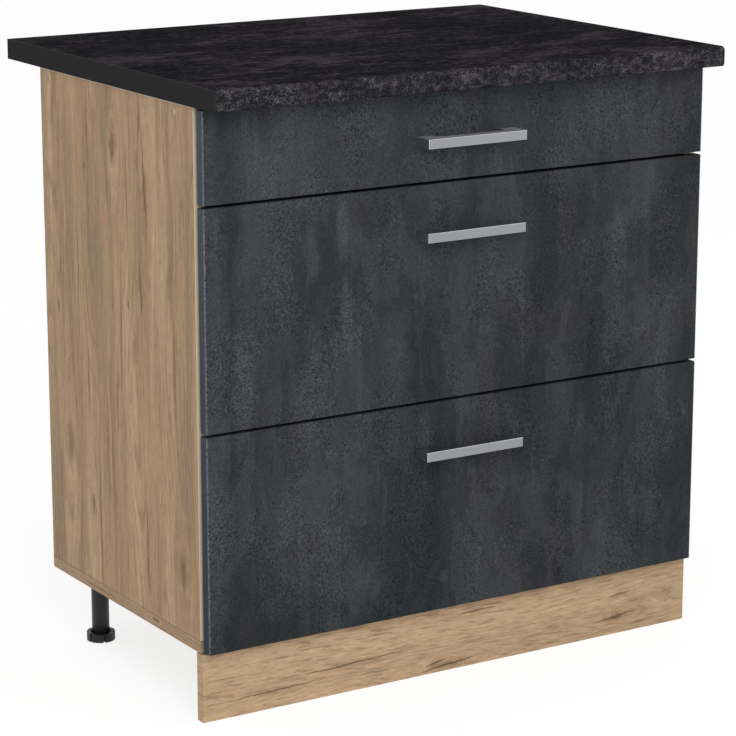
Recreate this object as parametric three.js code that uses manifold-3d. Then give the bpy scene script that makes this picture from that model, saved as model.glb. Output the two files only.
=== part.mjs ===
// A kitchen base cabinet with three drawers: a chipboard carcass on adjusting feet, slab drawer
// fronts with bar handles, a plinth board and a laminate worktop. The drawers have folded-steel
// sides that run on rollers in steel channels.
// Millimetres, +Z up, the drawers open towards -Y. The origin is on the floor, under the middle of
// the worktop.
import * as THREE from 'three';
import { mergeVertices } from 'three/addons/utils/BufferGeometryUtils.js';
import Module from 'manifold-3d';

const wasm = await Module();
wasm.setup();

// ---------------------------------------------------------------- driving dimensions

// Carcass
const carcassWidth = 800;
const carcassDepth = 440;
const carcassTop = 820; // top edges of the side panels, above the floor
const boardThickness = 16;
const edgeRadius = 1; // rounding of the edge bands
const backThickness = 3;
const backInset = 1; // the hardboard back stays this far inside the carcass outline
const frontRailDepth = 96;
const rearRailDepth = 60;
const railDrop = 4; // the rails lie this far under the worktop, so that its screws pull it down

// Worktop
const worktopDepth = 600;
const worktopThickness = 28;
const worktopOverhang = 40; // in front of the drawer fronts
const noseTopRadius = 7;
const noseBottomRadius = 5;
const endStripThickness = 3;

// Drawer fronts
const frontThickness = 16;
const frontClearance = 4; // between the fronts' backs and the carcass
const sideReveal = 2; // carcass edge left showing beside a front
const bottomReveal = 2;
const topReveal = 3;
const frontSpacing = 4; // gap between two fronts
const topFrontHeight = 121;

// Handles
const handleLength = 156;
const handleHeight = 13;
const handleProjection = 30;
const handleBarDepth = 16;
const handleLegWidth = 24;
const handleEdge = 0.8; // rounding of the outer edges
const handleInnerRadius = 3;
const handleDrop = 66; // from a front's top edge to the handle's middle
const handleScrewSpacing = 128;
const handleScrewHole = 5; // through the front
const handleThreadHole = 3.3; // blind, in the leg
const handleThreadDepth = 14;

// Runners: a channel on the side panel, a track folded into the drawer side, and two rollers
const runnerSetback = 2; // from the carcass's front edge
const runnerRearSpace = 38; // behind the runners, up to the back panel
const heldLength = 100; // of a drawer, left between the rollers when it is pulled right out
const foldRadius = 1.5; // outside of a fold in sheet steel
const channelSheet = 1.2;
const channelLipHeight = 4;
const channelTopFlange = 8;
const runnerScrewStart = 37; // from the carcass's front edge
const runnerScrewPitch = 128;
const runnerScrewHole = 5;
const stopLugDrop = 5.4; // how far the stop reaches down from the channel's top flange
const stopLugThickness = 2;
const rollerDiameter = 24;
const rollerWidth = 7;
const rollerChamfer = 0.7;
const rollerFloat = 0.8; // room beside a roller in its channel
const rollerHeadroom = 1.9; // room over a drawer roller in its channel
const rollerEndInset = 15; // roller axis from the end of its runner
const pinDiameter = 5.4;
const pinHeadDiameter = 9;
const pinHeadThickness = 1;
const turnGap = 0.3; // clearance of whatever turns or rolls
const screwHole = 4; // for the small screws of brackets, flanges, plates and clips

// Drawer boxes
const sideSheet = 1;
const wallClearance = 2.5; // between a side panel and the drawer side
const trackClearance = 3.5; // between the channel and the drawer side's inner wall
const shelfClearance = 1.6; // between the channel and the track over it
const baseFlangeRise = 2; // the flange that carries the drawer bottom, over the channel's floor
const baseFlangeWidth = 16;
const hemRadius = 3; // rounded top of a drawer side
const deepSideHeight = 150;
const topSideHeadroom = 6; // over the top drawer, under the rails
const floorClearance = 10; // between the bottom panel and the lowest channel
const topRunnerRise = 12; // from the top front's lower edge to its channel
const drawerBoardThickness = 16;
const drawerBoardGap = 0.3; // between a drawer board's ends and the steel sides
const drawerBackDrop = 8; // the back stays this far under the sides' tops
const bracketThickness = 2; // front bracket, inside the hollow drawer side
const flangeScrewEndInset = 40; // first and last screw of the base flange, from its ends
const flangeScrewCount = 3;
const adjusterHole = 10; // access to the bracket's adjuster
const adjusterInset = 28;
const rearTabThickness = 1.2;
const rearTabWidth = 30;
const rearTabMargin = 12; // from the tab's ends to the back panel's edges
const rearTabScrewInset = 10; // from the tab's ends to its screws

// Feet, plinth and clips
const footHeight = 96; // floor to the carcass's underside, with the foot screwed right in
const footSideInset = 37;
const footRearInset = 71;
const tubeDiameter = 25;
const mountPlateDiameter = 58;
const mountPlateThickness = 4;
const mountCollarWall = 3; // widening of the tube where it meets its plate
const mountCollarHeight = 8;
const mountWebThickness = 2.4;
const mountWebHeight = 7;
const mountWebInset = 3; // from the plate's rim
const mountScrewInset = 7; // from the plate's rim to the screws' axes
const crownDiameter = 40.5;
const crownHeight = 12;
const crownFloor = 3.5;
const crownWallThickness = 5.5;
const crownLobes = 6;
const crownTurn = 18; // from the X axis to the first notch, degrees
const crownNotchWidth = 2.6;
const crownNotchDepth = 4.5;
const crownChamfer = 0.8;
const spindleDiameter = 16;
const spindleLength = 50;
const spindleHeadroom = 6; // over the spindle, in the tube
const plinthThickness = 16;
const plinthSetback = 15; // behind the faces of the drawer fronts
const plinthTopGap = 1;
const crownClearance = 2; // between the front feet's crowns and the plinth's back
const plateClearance = 1; // between their plates' flats and the plinth's back
const clipPlateWidth = 44;
const clipPlateThickness = 4;
const clipNeckWidth = 16;
const clipWall = 3.2;
const clipHeight = 20;
const clipRise = 40; // above the floor
const clipMouth = 100; // opening of the clip's jaws, degrees
const clipScrewInset = 7; // from the plate's ends to its screws

// Facets of round pieces and steps of quarter arcs, kept low so that the solids stay light
const facets = {
  smallHole: 8, bore: 10, axle: 12, roller: 12, spindle: 16, adjuster: 16, tube: 20, well: 24,
};
const arcSteps = { nose: 3, crown: 2, clip: 8 };

// ---------------------------------------------------------------- derived sizes and places

const cutMargin = 1; // how far a cutter runs past what it cuts
const frontFace = -worktopDepth / 2 + worktopOverhang; // Y of the drawer fronts' faces
const carcassFront = frontFace + frontThickness + frontClearance;
const carcassBack = carcassFront + carcassDepth;
const innerHalfWidth = carcassWidth / 2 - boardThickness;
const floorTop = footHeight + boardThickness;
const railTop = carcassTop - railDrop;
const plinthFace = frontFace + plinthSetback;
const plinthBack = plinthFace + plinthThickness;
const clipReach = crownDiameter / 2 + crownClearance; // from the plinth's back to the foot's axis
const runnerLength = carcassDepth - runnerSetback - runnerRearSpace;
const drawerTravel = runnerLength - heldLength;

const lowestFront = footHeight + bottomReveal;
const frontStack = carcassTop - topReveal - lowestFront;
const deepFrontHeight = (frontStack - topFrontHeight - 2 * frontSpacing) / 2;
const deepRunnerRise = floorTop + floorClearance - lowestFront;

// Across a runner, w is measured from the side panel's inner face and h from the channel's floor.
const rollerNear = channelSheet + rollerFloat;
const rollerFar = rollerNear + rollerWidth;
const channelWidth = rollerFar + rollerFloat + channelSheet;
const channelHeight = 2 * channelSheet + turnGap + rollerDiameter + rollerHeadroom;
const trackHeight = channelHeight + shelfClearance; // underside of the track
const drawerAxleHeight = channelSheet + turnGap + rollerDiameter / 2;
const cabinetAxleHeight = trackHeight - turnGap - rollerDiameter / 2;
const innerWall = channelWidth + trackClearance;
const innerFace = innerWall + sideSheet;
const baseTop = baseFlangeRise + sideSheet + drawerBoardThickness;

// Along a drawer, y is measured from its front's face.
const sideStart = frontThickness;
const sideEnd = sideStart + runnerLength;
const channelStart = frontThickness + frontClearance + runnerSetback;
const cabinetAxleDepth = channelStart + rollerEndInset;
const drawerAxleDepth = sideEnd - rollerEndInset;

const deepSide = { frontHeight: deepFrontHeight, runnerRise: deepRunnerRise, sideHeight: deepSideHeight };
const topFrontBottom = carcassTop - topReveal - topFrontHeight;
const topSideHeight = railTop - boardThickness - topSideHeadroom - topFrontBottom - topRunnerRise;
const drawers = [
  { name: 'bottom', frontBottom: lowestFront, ...deepSide },
  { name: 'middle', frontBottom: lowestFront + deepFrontHeight + frontSpacing, ...deepSide },
  {
    name: 'top',
    frontBottom: topFrontBottom,
    frontHeight: topFrontHeight,
    runnerRise: topRunnerRise,
    sideHeight: topSideHeight,
  },
];

// ---------------------------------------------------------------- finishes

const finish = (color, roughness, metalness = 0) =>
  new THREE.MeshStandardMaterial({ color, roughness, metalness });
const oak = finish(0xa58c6e, 0.6);
const slate = finish(0x3d4245, 0.55);
const stoneLaminate = finish(0x2f2b2e, 0.4);
const darkStrip = finish(0x2e2e2e, 0.5);
const hardboard = finish(0x8d6f4e, 0.8);
const whiteBoard = finish(0xe4e2dc, 0.6);
const paleSteel = finish(0xcfd1d0, 0.4, 0.6);
const satinMetal = finish(0xa6a6a5, 0.35, 1);
const blackPlastic = finish(0x1b1b1b, 0.45);
const whitePlastic = finish(0xe9e8e2, 0.4);

// ---------------------------------------------------------------- shape helpers

// An outline through corners [x, y, radius], always run anticlockwise; a corner with a radius
// becomes an arc.
function outline(corners) {
  const clockwiseRing = THREE.ShapeUtils.isClockWise(corners.map(([x, y]) => ({ x, y })));
  const ring = clockwiseRing ? corners.toReversed() : corners;
  const shape = new THREE.Shape();
  ring.forEach(([x, y, radius = 0], i) => {
    const corner = new THREE.Vector2(x, y);
    const towards = ([otherX, otherY]) => new THREE.Vector2(otherX, otherY).sub(corner).normalize();
    const before = towards(ring.at(i - 1));
    const after = towards(ring[(i + 1) % ring.length]);
    if (radius === 0) {
      if (i === 0) shape.moveTo(x, y);
      else shape.lineTo(x, y);
      return;
    }
    const halfAngle = Math.acos(before.dot(after)) / 2;
    const toCentre = before.clone().add(after).setLength(radius / Math.sin(halfAngle));
    const centre = corner.clone().add(toCentre);
    const start = before.clone().multiplyScalar(radius / Math.tan(halfAngle)).sub(toCentre);
    const end = after.clone().multiplyScalar(radius / Math.tan(halfAngle)).sub(toCentre);
    const hollowCorner = before.cross(after) > 0;
    shape.absarc(centre.x, centre.y, radius, start.angle(), end.angle(), hollowCorner);
  });
  shape.closePath();
  return shape;
}

// A rectangle, with one radius for all corners or one for each, counted from the low corner
// towards the high end of its first side.
function rectangle(xLow, xHigh, yLow, yHigh, radii = 0) {
  const [a, b, c, d] = Array.isArray(radii) ? radii : [radii, radii, radii, radii];
  return outline([[xLow, yLow, a], [xHigh, yLow, b], [xHigh, yHigh, c], [xLow, yHigh, d]]);
}

const xAxis = new THREE.Vector3(1, 0, 0);
const yAxis = new THREE.Vector3(0, 1, 0);
const zAxis = new THREE.Vector3(0, 0, 1);

// Extrusions between two planes. The outline's own axes stand for (Y, Z), (X, Z) and (X, Y).
function alongX(shape, xLow, xHigh, options = {}) {
  const turn = new THREE.Matrix4().makeBasis(yAxis, zAxis, xAxis);
  return prism(shape, xHigh - xLow, options).applyMatrix4(turn).translate(xLow, 0, 0);
}
function alongY(shape, yLow, yHigh, options = {}) {
  const turn = new THREE.Matrix4().makeBasis(xAxis, zAxis, yAxis.clone().negate());
  return prism(shape, yHigh - yLow, options).applyMatrix4(turn).translate(0, yHigh, 0);
}
function alongZ(shape, zLow, zHigh, options = {}) {
  return prism(shape, zHigh - zLow, options).translate(0, 0, zLow);
}

// A straight extrusion; edge rounds both of its rims inside the outline and the length, in one
// or more steps.
function prism(shape, length, { edge = 0, edgeSteps = 2, steps = 1 }) {
  const geometry = new THREE.ExtrudeGeometry(shape, {
    depth: length - 2 * edge,
    bevelEnabled: edge > 0,
    bevelThickness: edge,
    bevelSize: edge,
    bevelOffset: -edge,
    bevelSegments: edgeSteps,
    curveSegments: steps,
  });
  return geometry.translate(0, 0, edge);
}

// A turned piece: its profile is [radius, distance along the axis], and the axis is X, towards
// +X or -X.
function turnedAlongX(profile, direction, segments) {
  return turned(profile, segments).rotateZ((-direction * Math.PI) / 2);
}
function turned(profile, segments) {
  const points = profile.map(([radius, along]) => new THREE.Vector2(radius, along));
  return new THREE.LatheGeometry(points, segments);
}

// Round bars and cutters between two planes.
function barAlongX(diameter, xLow, xHigh, segments = facets.bore) {
  return roundBar(diameter, xHigh - xLow, segments).rotateZ(Math.PI / 2).translate((xLow + xHigh) / 2, 0, 0);
}
function barAlongY(diameter, yLow, yHigh, segments = facets.bore) {
  return roundBar(diameter, yHigh - yLow, segments).translate(0, (yLow + yHigh) / 2, 0);
}
function barAlongZ(diameter, zLow, zHigh, segments = facets.bore) {
  return roundBar(diameter, zHigh - zLow, segments).rotateX(Math.PI / 2).translate(0, 0, (zLow + zHigh) / 2);
}
function roundBar(diameter, length, segments) {
  return new THREE.CylinderGeometry(diameter / 2, diameter / 2, length, segments);
}

// Joining and cutting of closed geometries.
function toSolid(geometry) {
  const bare = geometry.clone();
  bare.deleteAttribute('normal');
  bare.deleteAttribute('uv');
  const merged = mergeVertices(bare, 1e-4);
  return new wasm.Manifold(new wasm.Mesh({
    numProp: 3,
    vertProperties: merged.getAttribute('position').array,
    triVerts: new Uint32Array(merged.index.array),
  }));
}
function toGeometry(solid) {
  const mesh = solid.getMesh();
  const geometry = new THREE.BufferGeometry();
  geometry.setAttribute('position', new THREE.BufferAttribute(mesh.vertProperties, 3));
  geometry.setIndex(new THREE.BufferAttribute(mesh.triVerts, 1));
  geometry.computeVertexNormals();
  return geometry;
}
function combine(base, { add = [], cut = [] }) {
  let solid = toSolid(base);
  for (const geometry of add) solid = solid.add(toSolid(geometry));
  for (const geometry of cut) solid = solid.subtract(toSolid(geometry));
  return toGeometry(solid);
}

function piece(name, geometry, material, position = [0, 0, 0]) {
  const mesh = new THREE.Mesh(geometry, material);
  mesh.name = name;
  mesh.position.set(...position);
  return mesh;
}

const sides = [
  { word: 'left', sign: -1 },
  { word: 'right', sign: 1 },
];

// ---------------------------------------------------------------- carcass

function sidePanel({ word, sign }) {
  const section = rectangle(-boardThickness / 2, boardThickness / 2, carcassFront, carcassBack,
    [edgeRadius, edgeRadius, 0, 0]);
  const x = sign * (innerHalfWidth + boardThickness / 2);
  return piece(`side_panel_${word}`, alongZ(section, floorTop, carcassTop), oak, [x, 0, 0]);
}

function bottomPanel() {
  const section = rectangle(carcassFront, carcassBack, footHeight, floorTop, [edgeRadius, 0, 0, edgeRadius]);
  return piece('bottom_panel', alongX(section, -carcassWidth / 2, carcassWidth / 2), oak);
}

function topRail(name, yLow, yHigh) {
  const section = rectangle(yLow, yHigh, railTop - boardThickness, railTop, [edgeRadius, 0, 0, edgeRadius]);
  return piece(name, alongX(section, -innerHalfWidth, innerHalfWidth), oak);
}

function backPanel() {
  const halfWidth = carcassWidth / 2 - backInset;
  const sheet = rectangle(-halfWidth, halfWidth, footHeight + backInset, carcassTop - backInset);
  return piece('back_panel', alongY(sheet, carcassBack, carcassBack + backThickness), hardboard);
}

// ---------------------------------------------------------------- worktop

function worktopSection() {
  return rectangle(-worktopDepth / 2, worktopDepth / 2, carcassTop, carcassTop + worktopThickness,
    [noseBottomRadius, 0, 0, noseTopRadius]);
}

function worktop() {
  const slab = alongX(worktopSection(), -carcassWidth / 2, carcassWidth / 2, { steps: arcSteps.nose });
  return piece('worktop', slab, stoneLaminate);
}

function worktopEndStrip({ word, sign }) {
  const strip = alongX(worktopSection(), 0, endStripThickness, { steps: arcSteps.nose });
  const x = sign > 0 ? carcassWidth / 2 : -carcassWidth / 2 - endStripThickness;
  return piece(`worktop_end_strip_${word}`, strip, darkStrip, [x, 0, 0]);
}

// ---------------------------------------------------------------- feet, plinth and clips

const tubeFoot = crownFloor + turnGap; // the tube ends just over the crown's floor
const spindleTop = crownFloor + spindleLength;

// The screwed-on plate, its collar and crossed webs and the tube, in one moulding that is bored
// from below for the spindle. A flat on the plate lets the foot stand close behind the plinth.
function footSocket(name, position) {
  const tubeRadius = tubeDiameter / 2;
  const plateRadius = mountPlateDiameter / 2;
  const plateUnderside = footHeight - mountPlateThickness;
  const body = turned([
    [0, tubeFoot],
    [tubeRadius, tubeFoot],
    [tubeRadius, plateUnderside - mountCollarHeight],
    [tubeRadius + mountCollarWall, plateUnderside],
    [plateRadius, plateUnderside],
    [plateRadius, footHeight],
    [0, footHeight],
  ], facets.tube).rotateX(Math.PI / 2);

  const webReach = plateRadius - mountWebInset;
  const webTop = footHeight - mountPlateThickness / 2;
  const web = outline([
    [-webReach, webTop],
    [-webReach, plateUnderside - mountPlateThickness / 2],
    [-tubeRadius, plateUnderside - mountWebHeight],
    [tubeRadius, plateUnderside - mountWebHeight],
    [webReach, plateUnderside - mountPlateThickness / 2],
    [webReach, webTop],
  ]);
  const halfWeb = mountWebThickness / 2;
  const webs = [alongX(web, -halfWeb, halfWeb), alongY(web, -halfWeb, halfWeb)];

  const past = plateRadius + cutMargin;
  const flat = alongZ(rectangle(-past, past, -past, plateClearance - clipReach), 0, footHeight + cutMargin);
  const boreTop = spindleTop + spindleHeadroom;
  const bore = barAlongZ(spindleDiameter + 2 * turnGap, tubeFoot - cutMargin, boreTop, facets.spindle);
  const screwOffset = (plateRadius - mountScrewInset) * Math.SQRT1_2;
  const screws = [[-1, -1], [1, -1], [1, 1], [-1, 1]].map(([alongFront, alongSide]) =>
    barAlongZ(screwHole, plateUnderside - cutMargin, footHeight + cutMargin, facets.smallHole)
      .translate(alongFront * screwOffset, alongSide * screwOffset, 0));
  return piece(name, combine(body, { add: webs, cut: [flat, bore, ...screws] }), blackPlastic, position);
}

// The castellated outline: arcs of the crown's diameter with parallel-sided notches between them.
function crownOutline() {
  const outerRadius = crownDiameter / 2;
  const notchRadius = outerRadius - crownNotchDepth;
  const outerHalf = Math.asin(crownNotchWidth / 2 / outerRadius);
  const innerHalf = Math.asin(crownNotchWidth / 2 / notchRadius);
  const pitch = (2 * Math.PI) / crownLobes;
  const turn = THREE.MathUtils.degToRad(crownTurn);
  const shape = new THREE.Shape();
  for (let lobe = 0; lobe < crownLobes; lobe += 1) {
    const notch = turn + lobe * pitch;
    shape.absarc(0, 0, outerRadius, notch + outerHalf, notch + pitch - outerHalf, false);
    for (const angle of [notch + pitch - innerHalf, notch + pitch + innerHalf]) {
      shape.lineTo(notchRadius * Math.cos(angle), notchRadius * Math.sin(angle));
    }
  }
  shape.closePath();
  return shape;
}

// A cup with a castellated rim to grip, and the spindle that screws up into the tube.
function adjustingFoot(name, position) {
  const crown = alongZ(crownOutline(), 0, crownHeight,
    { edge: crownChamfer, edgeSteps: 1, steps: arcSteps.crown });
  const wellDiameter = crownDiameter - 2 * crownWallThickness;
  const well = barAlongZ(wellDiameter, crownFloor, crownHeight + cutMargin, facets.well);
  const spindle = turned([
    [0, crownFloor / 2],
    [spindleDiameter / 2, crownFloor / 2],
    [spindleDiameter / 2, spindleTop - crownChamfer],
    [spindleDiameter / 2 - crownChamfer, spindleTop],
    [0, spindleTop],
  ], facets.spindle).rotateX(Math.PI / 2);
  const cup = combine(crown, { cut: [well] });
  return piece(name, combine(cup, { add: [spindle] }), blackPlastic, position);
}

function feet() {
  const rows = [
    { word: 'front', y: plinthBack + clipReach },
    { word: 'rear', y: carcassBack - footRearInset },
  ];
  const x = carcassWidth / 2 - footSideInset;
  return rows.flatMap((row) => sides.flatMap(({ word, sign }) => [
    footSocket(`foot_socket_${row.word}_${word}`, [sign * x, row.y, 0]),
    adjustingFoot(`adjusting_foot_${row.word}_${word}`, [sign * x, row.y, 0]),
  ]));
}

function plinth() {
  const section = rectangle(plinthFace, plinthBack, 0, footHeight - plinthTopGap,
    [edgeRadius, 0, 0, edgeRadius]);
  return piece('plinth', alongX(section, -carcassWidth / 2, carcassWidth / 2), oak);
}

// A plate on the plinth's back, a neck, and jaws that snap round the foot's tube.
function plinthClip({ word, sign }) {
  const jawInner = tubeDiameter / 2 + turnGap;
  const jawOuter = jawInner + clipWall;
  const plateHalf = clipPlateWidth / 2;
  const neckHalf = clipNeckWidth / 2;
  const mouthHalf = THREE.MathUtils.degToRad(clipMouth / 2);
  const jawRight = Math.PI / 2 - mouthHalf;
  const jawLeft = Math.PI / 2 + mouthHalf;
  const neckAngle = Math.acos(neckHalf / jawOuter);
  const shape = new THREE.Shape();
  shape.moveTo(-plateHalf, 0);
  shape.lineTo(plateHalf, 0);
  shape.lineTo(plateHalf, clipPlateThickness);
  shape.lineTo(neckHalf, clipPlateThickness);
  shape.absarc(0, clipReach, jawOuter, -neckAngle, jawRight, false);
  shape.absarc(0, clipReach, jawInner, jawRight, jawLeft, true);
  shape.absarc(0, clipReach, jawOuter, jawLeft, Math.PI + neckAngle, false);
  shape.lineTo(-neckHalf, clipPlateThickness);
  shape.lineTo(-plateHalf, clipPlateThickness);
  shape.closePath();
  const clip = alongZ(shape, clipRise, clipRise + clipHeight, { steps: arcSteps.clip });
  const screws = [-1, 1].map((end) =>
    barAlongY(screwHole, -cutMargin, clipPlateThickness + cutMargin, facets.smallHole)
      .translate(end * (plateHalf - clipScrewInset), 0, clipRise + clipHeight / 2));
  const x = sign * (carcassWidth / 2 - footSideInset);
  return piece(`plinth_clip_${word}`, combine(clip, { cut: screws }), blackPlastic, [x, plinthBack, 0]);
}

// ---------------------------------------------------------------- runners and rollers

// Points across a runner, given as [w, h, radius], in the cabinet's X and the drawer's Z.
function across(sign, points) {
  return points.map(([w, h, radius = 0]) => [sign * (innerHalfWidth - w), h, radius]);
}

// A box between two values of w, y and h.
function blockAcross(sign, [wLow, wHigh], [yLow, yHigh], [hLow, hHigh]) {
  const corners = [[wLow, hLow], [wHigh, hLow], [wHigh, hHigh], [wLow, hHigh]];
  return alongY(outline(across(sign, corners)), yLow, yHigh);
}

// A round cutter or bar along X, through a sheet between two values of w.
function barAcross(sign, diameter, [wLow, wHigh], y, h, segments) {
  const half = (wHigh - wLow) / 2;
  return barAlongX(diameter, -half, half, segments)
    .translate(sign * (innerHalfWidth - wLow - half), y, h);
}

// A riveted axle: shoulder, shaft and head. It starts inside the sheet that carries it, at w,
// and points towards the roller, inwards (1) or outwards (-1).
function axlePin(sign, w, inwards, reach, y, h) {
  const headStart = reach - pinHeadThickness;
  const shoulder = reach - rollerWidth - turnGap;
  const root = -Math.min(channelSheet, sideSheet) / 2;
  const profile = [
    [0, root],
    [pinHeadDiameter / 2, root],
    [pinHeadDiameter / 2, shoulder],
    [pinDiameter / 2, shoulder],
    [pinDiameter / 2, headStart],
    [pinHeadDiameter / 2, headStart],
    [pinHeadDiameter / 2, reach],
    [0, reach],
  ];
  return turnedAlongX(profile, -sign * inwards, facets.axle).translate(sign * (innerHalfWidth - w), y, h);
}

// The C-shaped channel on the side panel, with its roller's axle at the front end, a notch that
// lets the roller stand out, a stop for the drawer's roller and screw holes.
function cabinetRunner(name, sign) {
  const channelEnd = channelStart + runnerLength;
  const inside = channelSheet;
  const flangeUnderside = channelHeight - channelSheet;
  const channel = alongY(outline(across(sign, [
    [0, 0, foldRadius],
    [channelWidth, 0, foldRadius],
    [channelWidth, channelLipHeight],
    [channelWidth - channelSheet, channelLipHeight],
    [channelWidth - channelSheet, channelSheet],
    [inside, channelSheet],
    [inside, flangeUnderside],
    [channelTopFlange, flangeUnderside],
    [channelTopFlange, channelHeight],
    [0, channelHeight, foldRadius],
  ])), channelStart, channelEnd);

  const notchEnd = cabinetAxleDepth + rollerDiameter / 2 + rollerHeadroom;
  const notch = blockAcross(sign, [inside, channelWidth], [channelStart - cutMargin, notchEnd],
    [flangeUnderside - cutMargin, channelHeight + cutMargin]);

  const lugBottom = flangeUnderside - stopLugDrop;
  const rollerAtStop = drawerAxleDepth - drawerTravel;
  const lugReach = Math.sqrt((rollerDiameter / 2) ** 2 - (lugBottom - drawerAxleHeight) ** 2);
  const lugRear = rollerAtStop - lugReach - turnGap;
  const lug = blockAcross(sign, [inside / 2, channelTopFlange], [lugRear - stopLugThickness, lugRear],
    [lugBottom, flangeUnderside + channelSheet / 2]);

  const screwHoles = [];
  const firstHole = channelStart - runnerSetback + runnerScrewStart;
  for (let y = firstHole; y < channelEnd - runnerScrewHole; y += runnerScrewPitch) {
    screwHoles.push(barAcross(sign, runnerScrewHole, [-cutMargin, inside + cutMargin], y, channelHeight / 2));
  }
  const axle = axlePin(sign, channelSheet, 1, rollerFar - channelSheet, cabinetAxleDepth, cabinetAxleHeight);
  const drilled = combine(channel, { add: [lug], cut: [notch, ...screwHoles] });
  return piece(name, combine(drilled, { add: [axle] }), paleSteel);
}

// A roller with a bore, and a recess in its outer face for the axle's head.
function roller(name, direction, position) {
  const radius = rollerDiameter / 2;
  const boreRadius = pinDiameter / 2 + turnGap;
  const recessRadius = pinHeadDiameter / 2 + 2 * turnGap;
  const recessFloor = rollerWidth - pinHeadThickness - turnGap;
  const profile = [
    [boreRadius, 0],
    [radius - rollerChamfer, 0],
    [radius, rollerChamfer],
    [radius, rollerWidth - rollerChamfer],
    [radius - rollerChamfer, rollerWidth],
    [recessRadius, rollerWidth],
    [recessRadius, recessFloor],
    [boreRadius, recessFloor],
    [boreRadius, 0],
  ];
  return piece(name, turnedAlongX(profile, direction, facets.roller), whitePlastic, position);
}

// ---------------------------------------------------------------- drawer boxes

// One folded sheet: the base flange, the inner wall, the rounded hem, the outer wall and the
// track. Front bracket, rear tab and the roller's axle belong to it.
function drawerSide(name, sign, sideHeight) {
  const outerFace = wallClearance;
  const flangeEnd = innerFace + baseFlangeWidth;
  const flangeTop = baseFlangeRise + sideSheet;
  const trackTop = trackHeight + sideSheet;
  const hollowRadius = hemRadius - sideSheet;
  const section = outline(across(sign, [
    [flangeEnd, baseFlangeRise],
    [innerWall, baseFlangeRise, foldRadius],
    [innerWall, trackHeight],
    [outerFace, trackHeight, foldRadius],
    [outerFace, sideHeight, hemRadius],
    [innerFace, sideHeight, hemRadius],
    [innerFace, flangeTop],
    [flangeEnd, flangeTop],
  ]));
  section.holes.push(outline(across(sign, [
    [outerFace + sideSheet, trackTop],
    [innerWall, trackTop],
    [innerWall, sideHeight - sideSheet, hollowRadius],
    [outerFace + sideSheet, sideHeight - sideSheet, hollowRadius],
  ])));
  const folded = alongY(section, sideStart, sideEnd);

  const half = sideSheet / 2;
  const hollowMiddle = (outerFace + sideSheet + innerWall) / 2;
  const bracket = blockAcross(sign, [outerFace + half, innerWall + half],
    [sideStart, sideStart + bracketThickness], [trackHeight + half, sideHeight - half]);
  const bracketScrews = [1, 3].map((quarter) => {
    const h = trackTop + (quarter / 4) * (sideHeight - sideSheet - trackTop);
    const through = [sideStart - cutMargin, sideStart + bracketThickness + cutMargin];
    return barAlongY(screwHole, ...through, facets.smallHole)
      .translate(sign * (innerHalfWidth - hollowMiddle), 0, h);
  });
  const adjuster = barAcross(sign, adjusterHole, [innerWall - cutMargin, innerFace + cutMargin],
    sideStart + adjusterInset, (trackTop + sideHeight) / 2, facets.adjuster);

  const flangeScrews = [];
  const flangePitch = (runnerLength - 2 * flangeScrewEndInset) / (flangeScrewCount - 1);
  for (let i = 0; i < flangeScrewCount; i += 1) {
    const through = [baseFlangeRise - cutMargin, flangeTop + cutMargin];
    flangeScrews.push(barAlongZ(screwHole, ...through, facets.smallHole).translate(
      sign * (innerHalfWidth - innerFace - baseFlangeWidth / 2),
      sideStart + flangeScrewEndInset + i * flangePitch,
      0,
    ));
  }

  const tabBottom = baseTop + rearTabMargin;
  const tabTop = sideHeight - drawerBackDrop - rearTabMargin;
  const tab = alongZ(outline([
    [innerWall, sideEnd - sideSheet],
    [innerWall, sideEnd + rearTabThickness],
    [innerFace + rearTabWidth, sideEnd + rearTabThickness],
    [innerFace + rearTabWidth, sideEnd],
    [innerFace, sideEnd],
    [innerFace, sideEnd - sideSheet],
  ].map(([w, y]) => [sign * (innerHalfWidth - w), y])), tabBottom, tabTop);
  const tabScrews = [tabBottom + rearTabScrewInset, tabTop - rearTabScrewInset].map((h) =>
    barAlongY(screwHole, sideEnd - cutMargin, sideEnd + rearTabThickness + cutMargin, facets.smallHole)
      .translate(sign * (innerHalfWidth - innerFace - rearTabWidth / 2), 0, h));

  const axle = axlePin(sign, innerWall, -1, innerWall - rollerNear, drawerAxleDepth, drawerAxleHeight);
  const holes = [...bracketScrews, adjuster, ...flangeScrews, ...tabScrews];
  const drilled = combine(folded, { add: [bracket, tab], cut: holes });
  return piece(name, combine(drilled, { add: [axle] }), paleSteel);
}

function drawerBase(name) {
  const halfWidth = innerHalfWidth - innerFace - drawerBoardGap;
  const section = rectangle(-halfWidth, halfWidth, baseTop - drawerBoardThickness, baseTop);
  return piece(name, alongY(section, sideStart, sideEnd), whiteBoard);
}

function drawerBack(name, sideHeight) {
  const halfWidth = innerHalfWidth - innerFace - drawerBoardGap;
  const section = rectangle(sideEnd - drawerBoardThickness, sideEnd, baseTop, sideHeight - drawerBackDrop,
    [0, 0, edgeRadius, edgeRadius]);
  return piece(name, alongX(section, -halfWidth, halfWidth), whiteBoard);
}

function drawerFront(name, height, handleAt) {
  const halfWidth = carcassWidth / 2 - sideReveal;
  const slab = alongY(rectangle(-halfWidth, halfWidth, 0, height, edgeRadius), 0, frontThickness,
    { edge: edgeRadius });
  const holes = [-1, 1].map((end) => barAlongY(handleScrewHole, -cutMargin, frontThickness + cutMargin)
    .translate((end * handleScrewSpacing) / 2, 0, handleAt));
  return combine(slab, { cut: holes });
}

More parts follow.
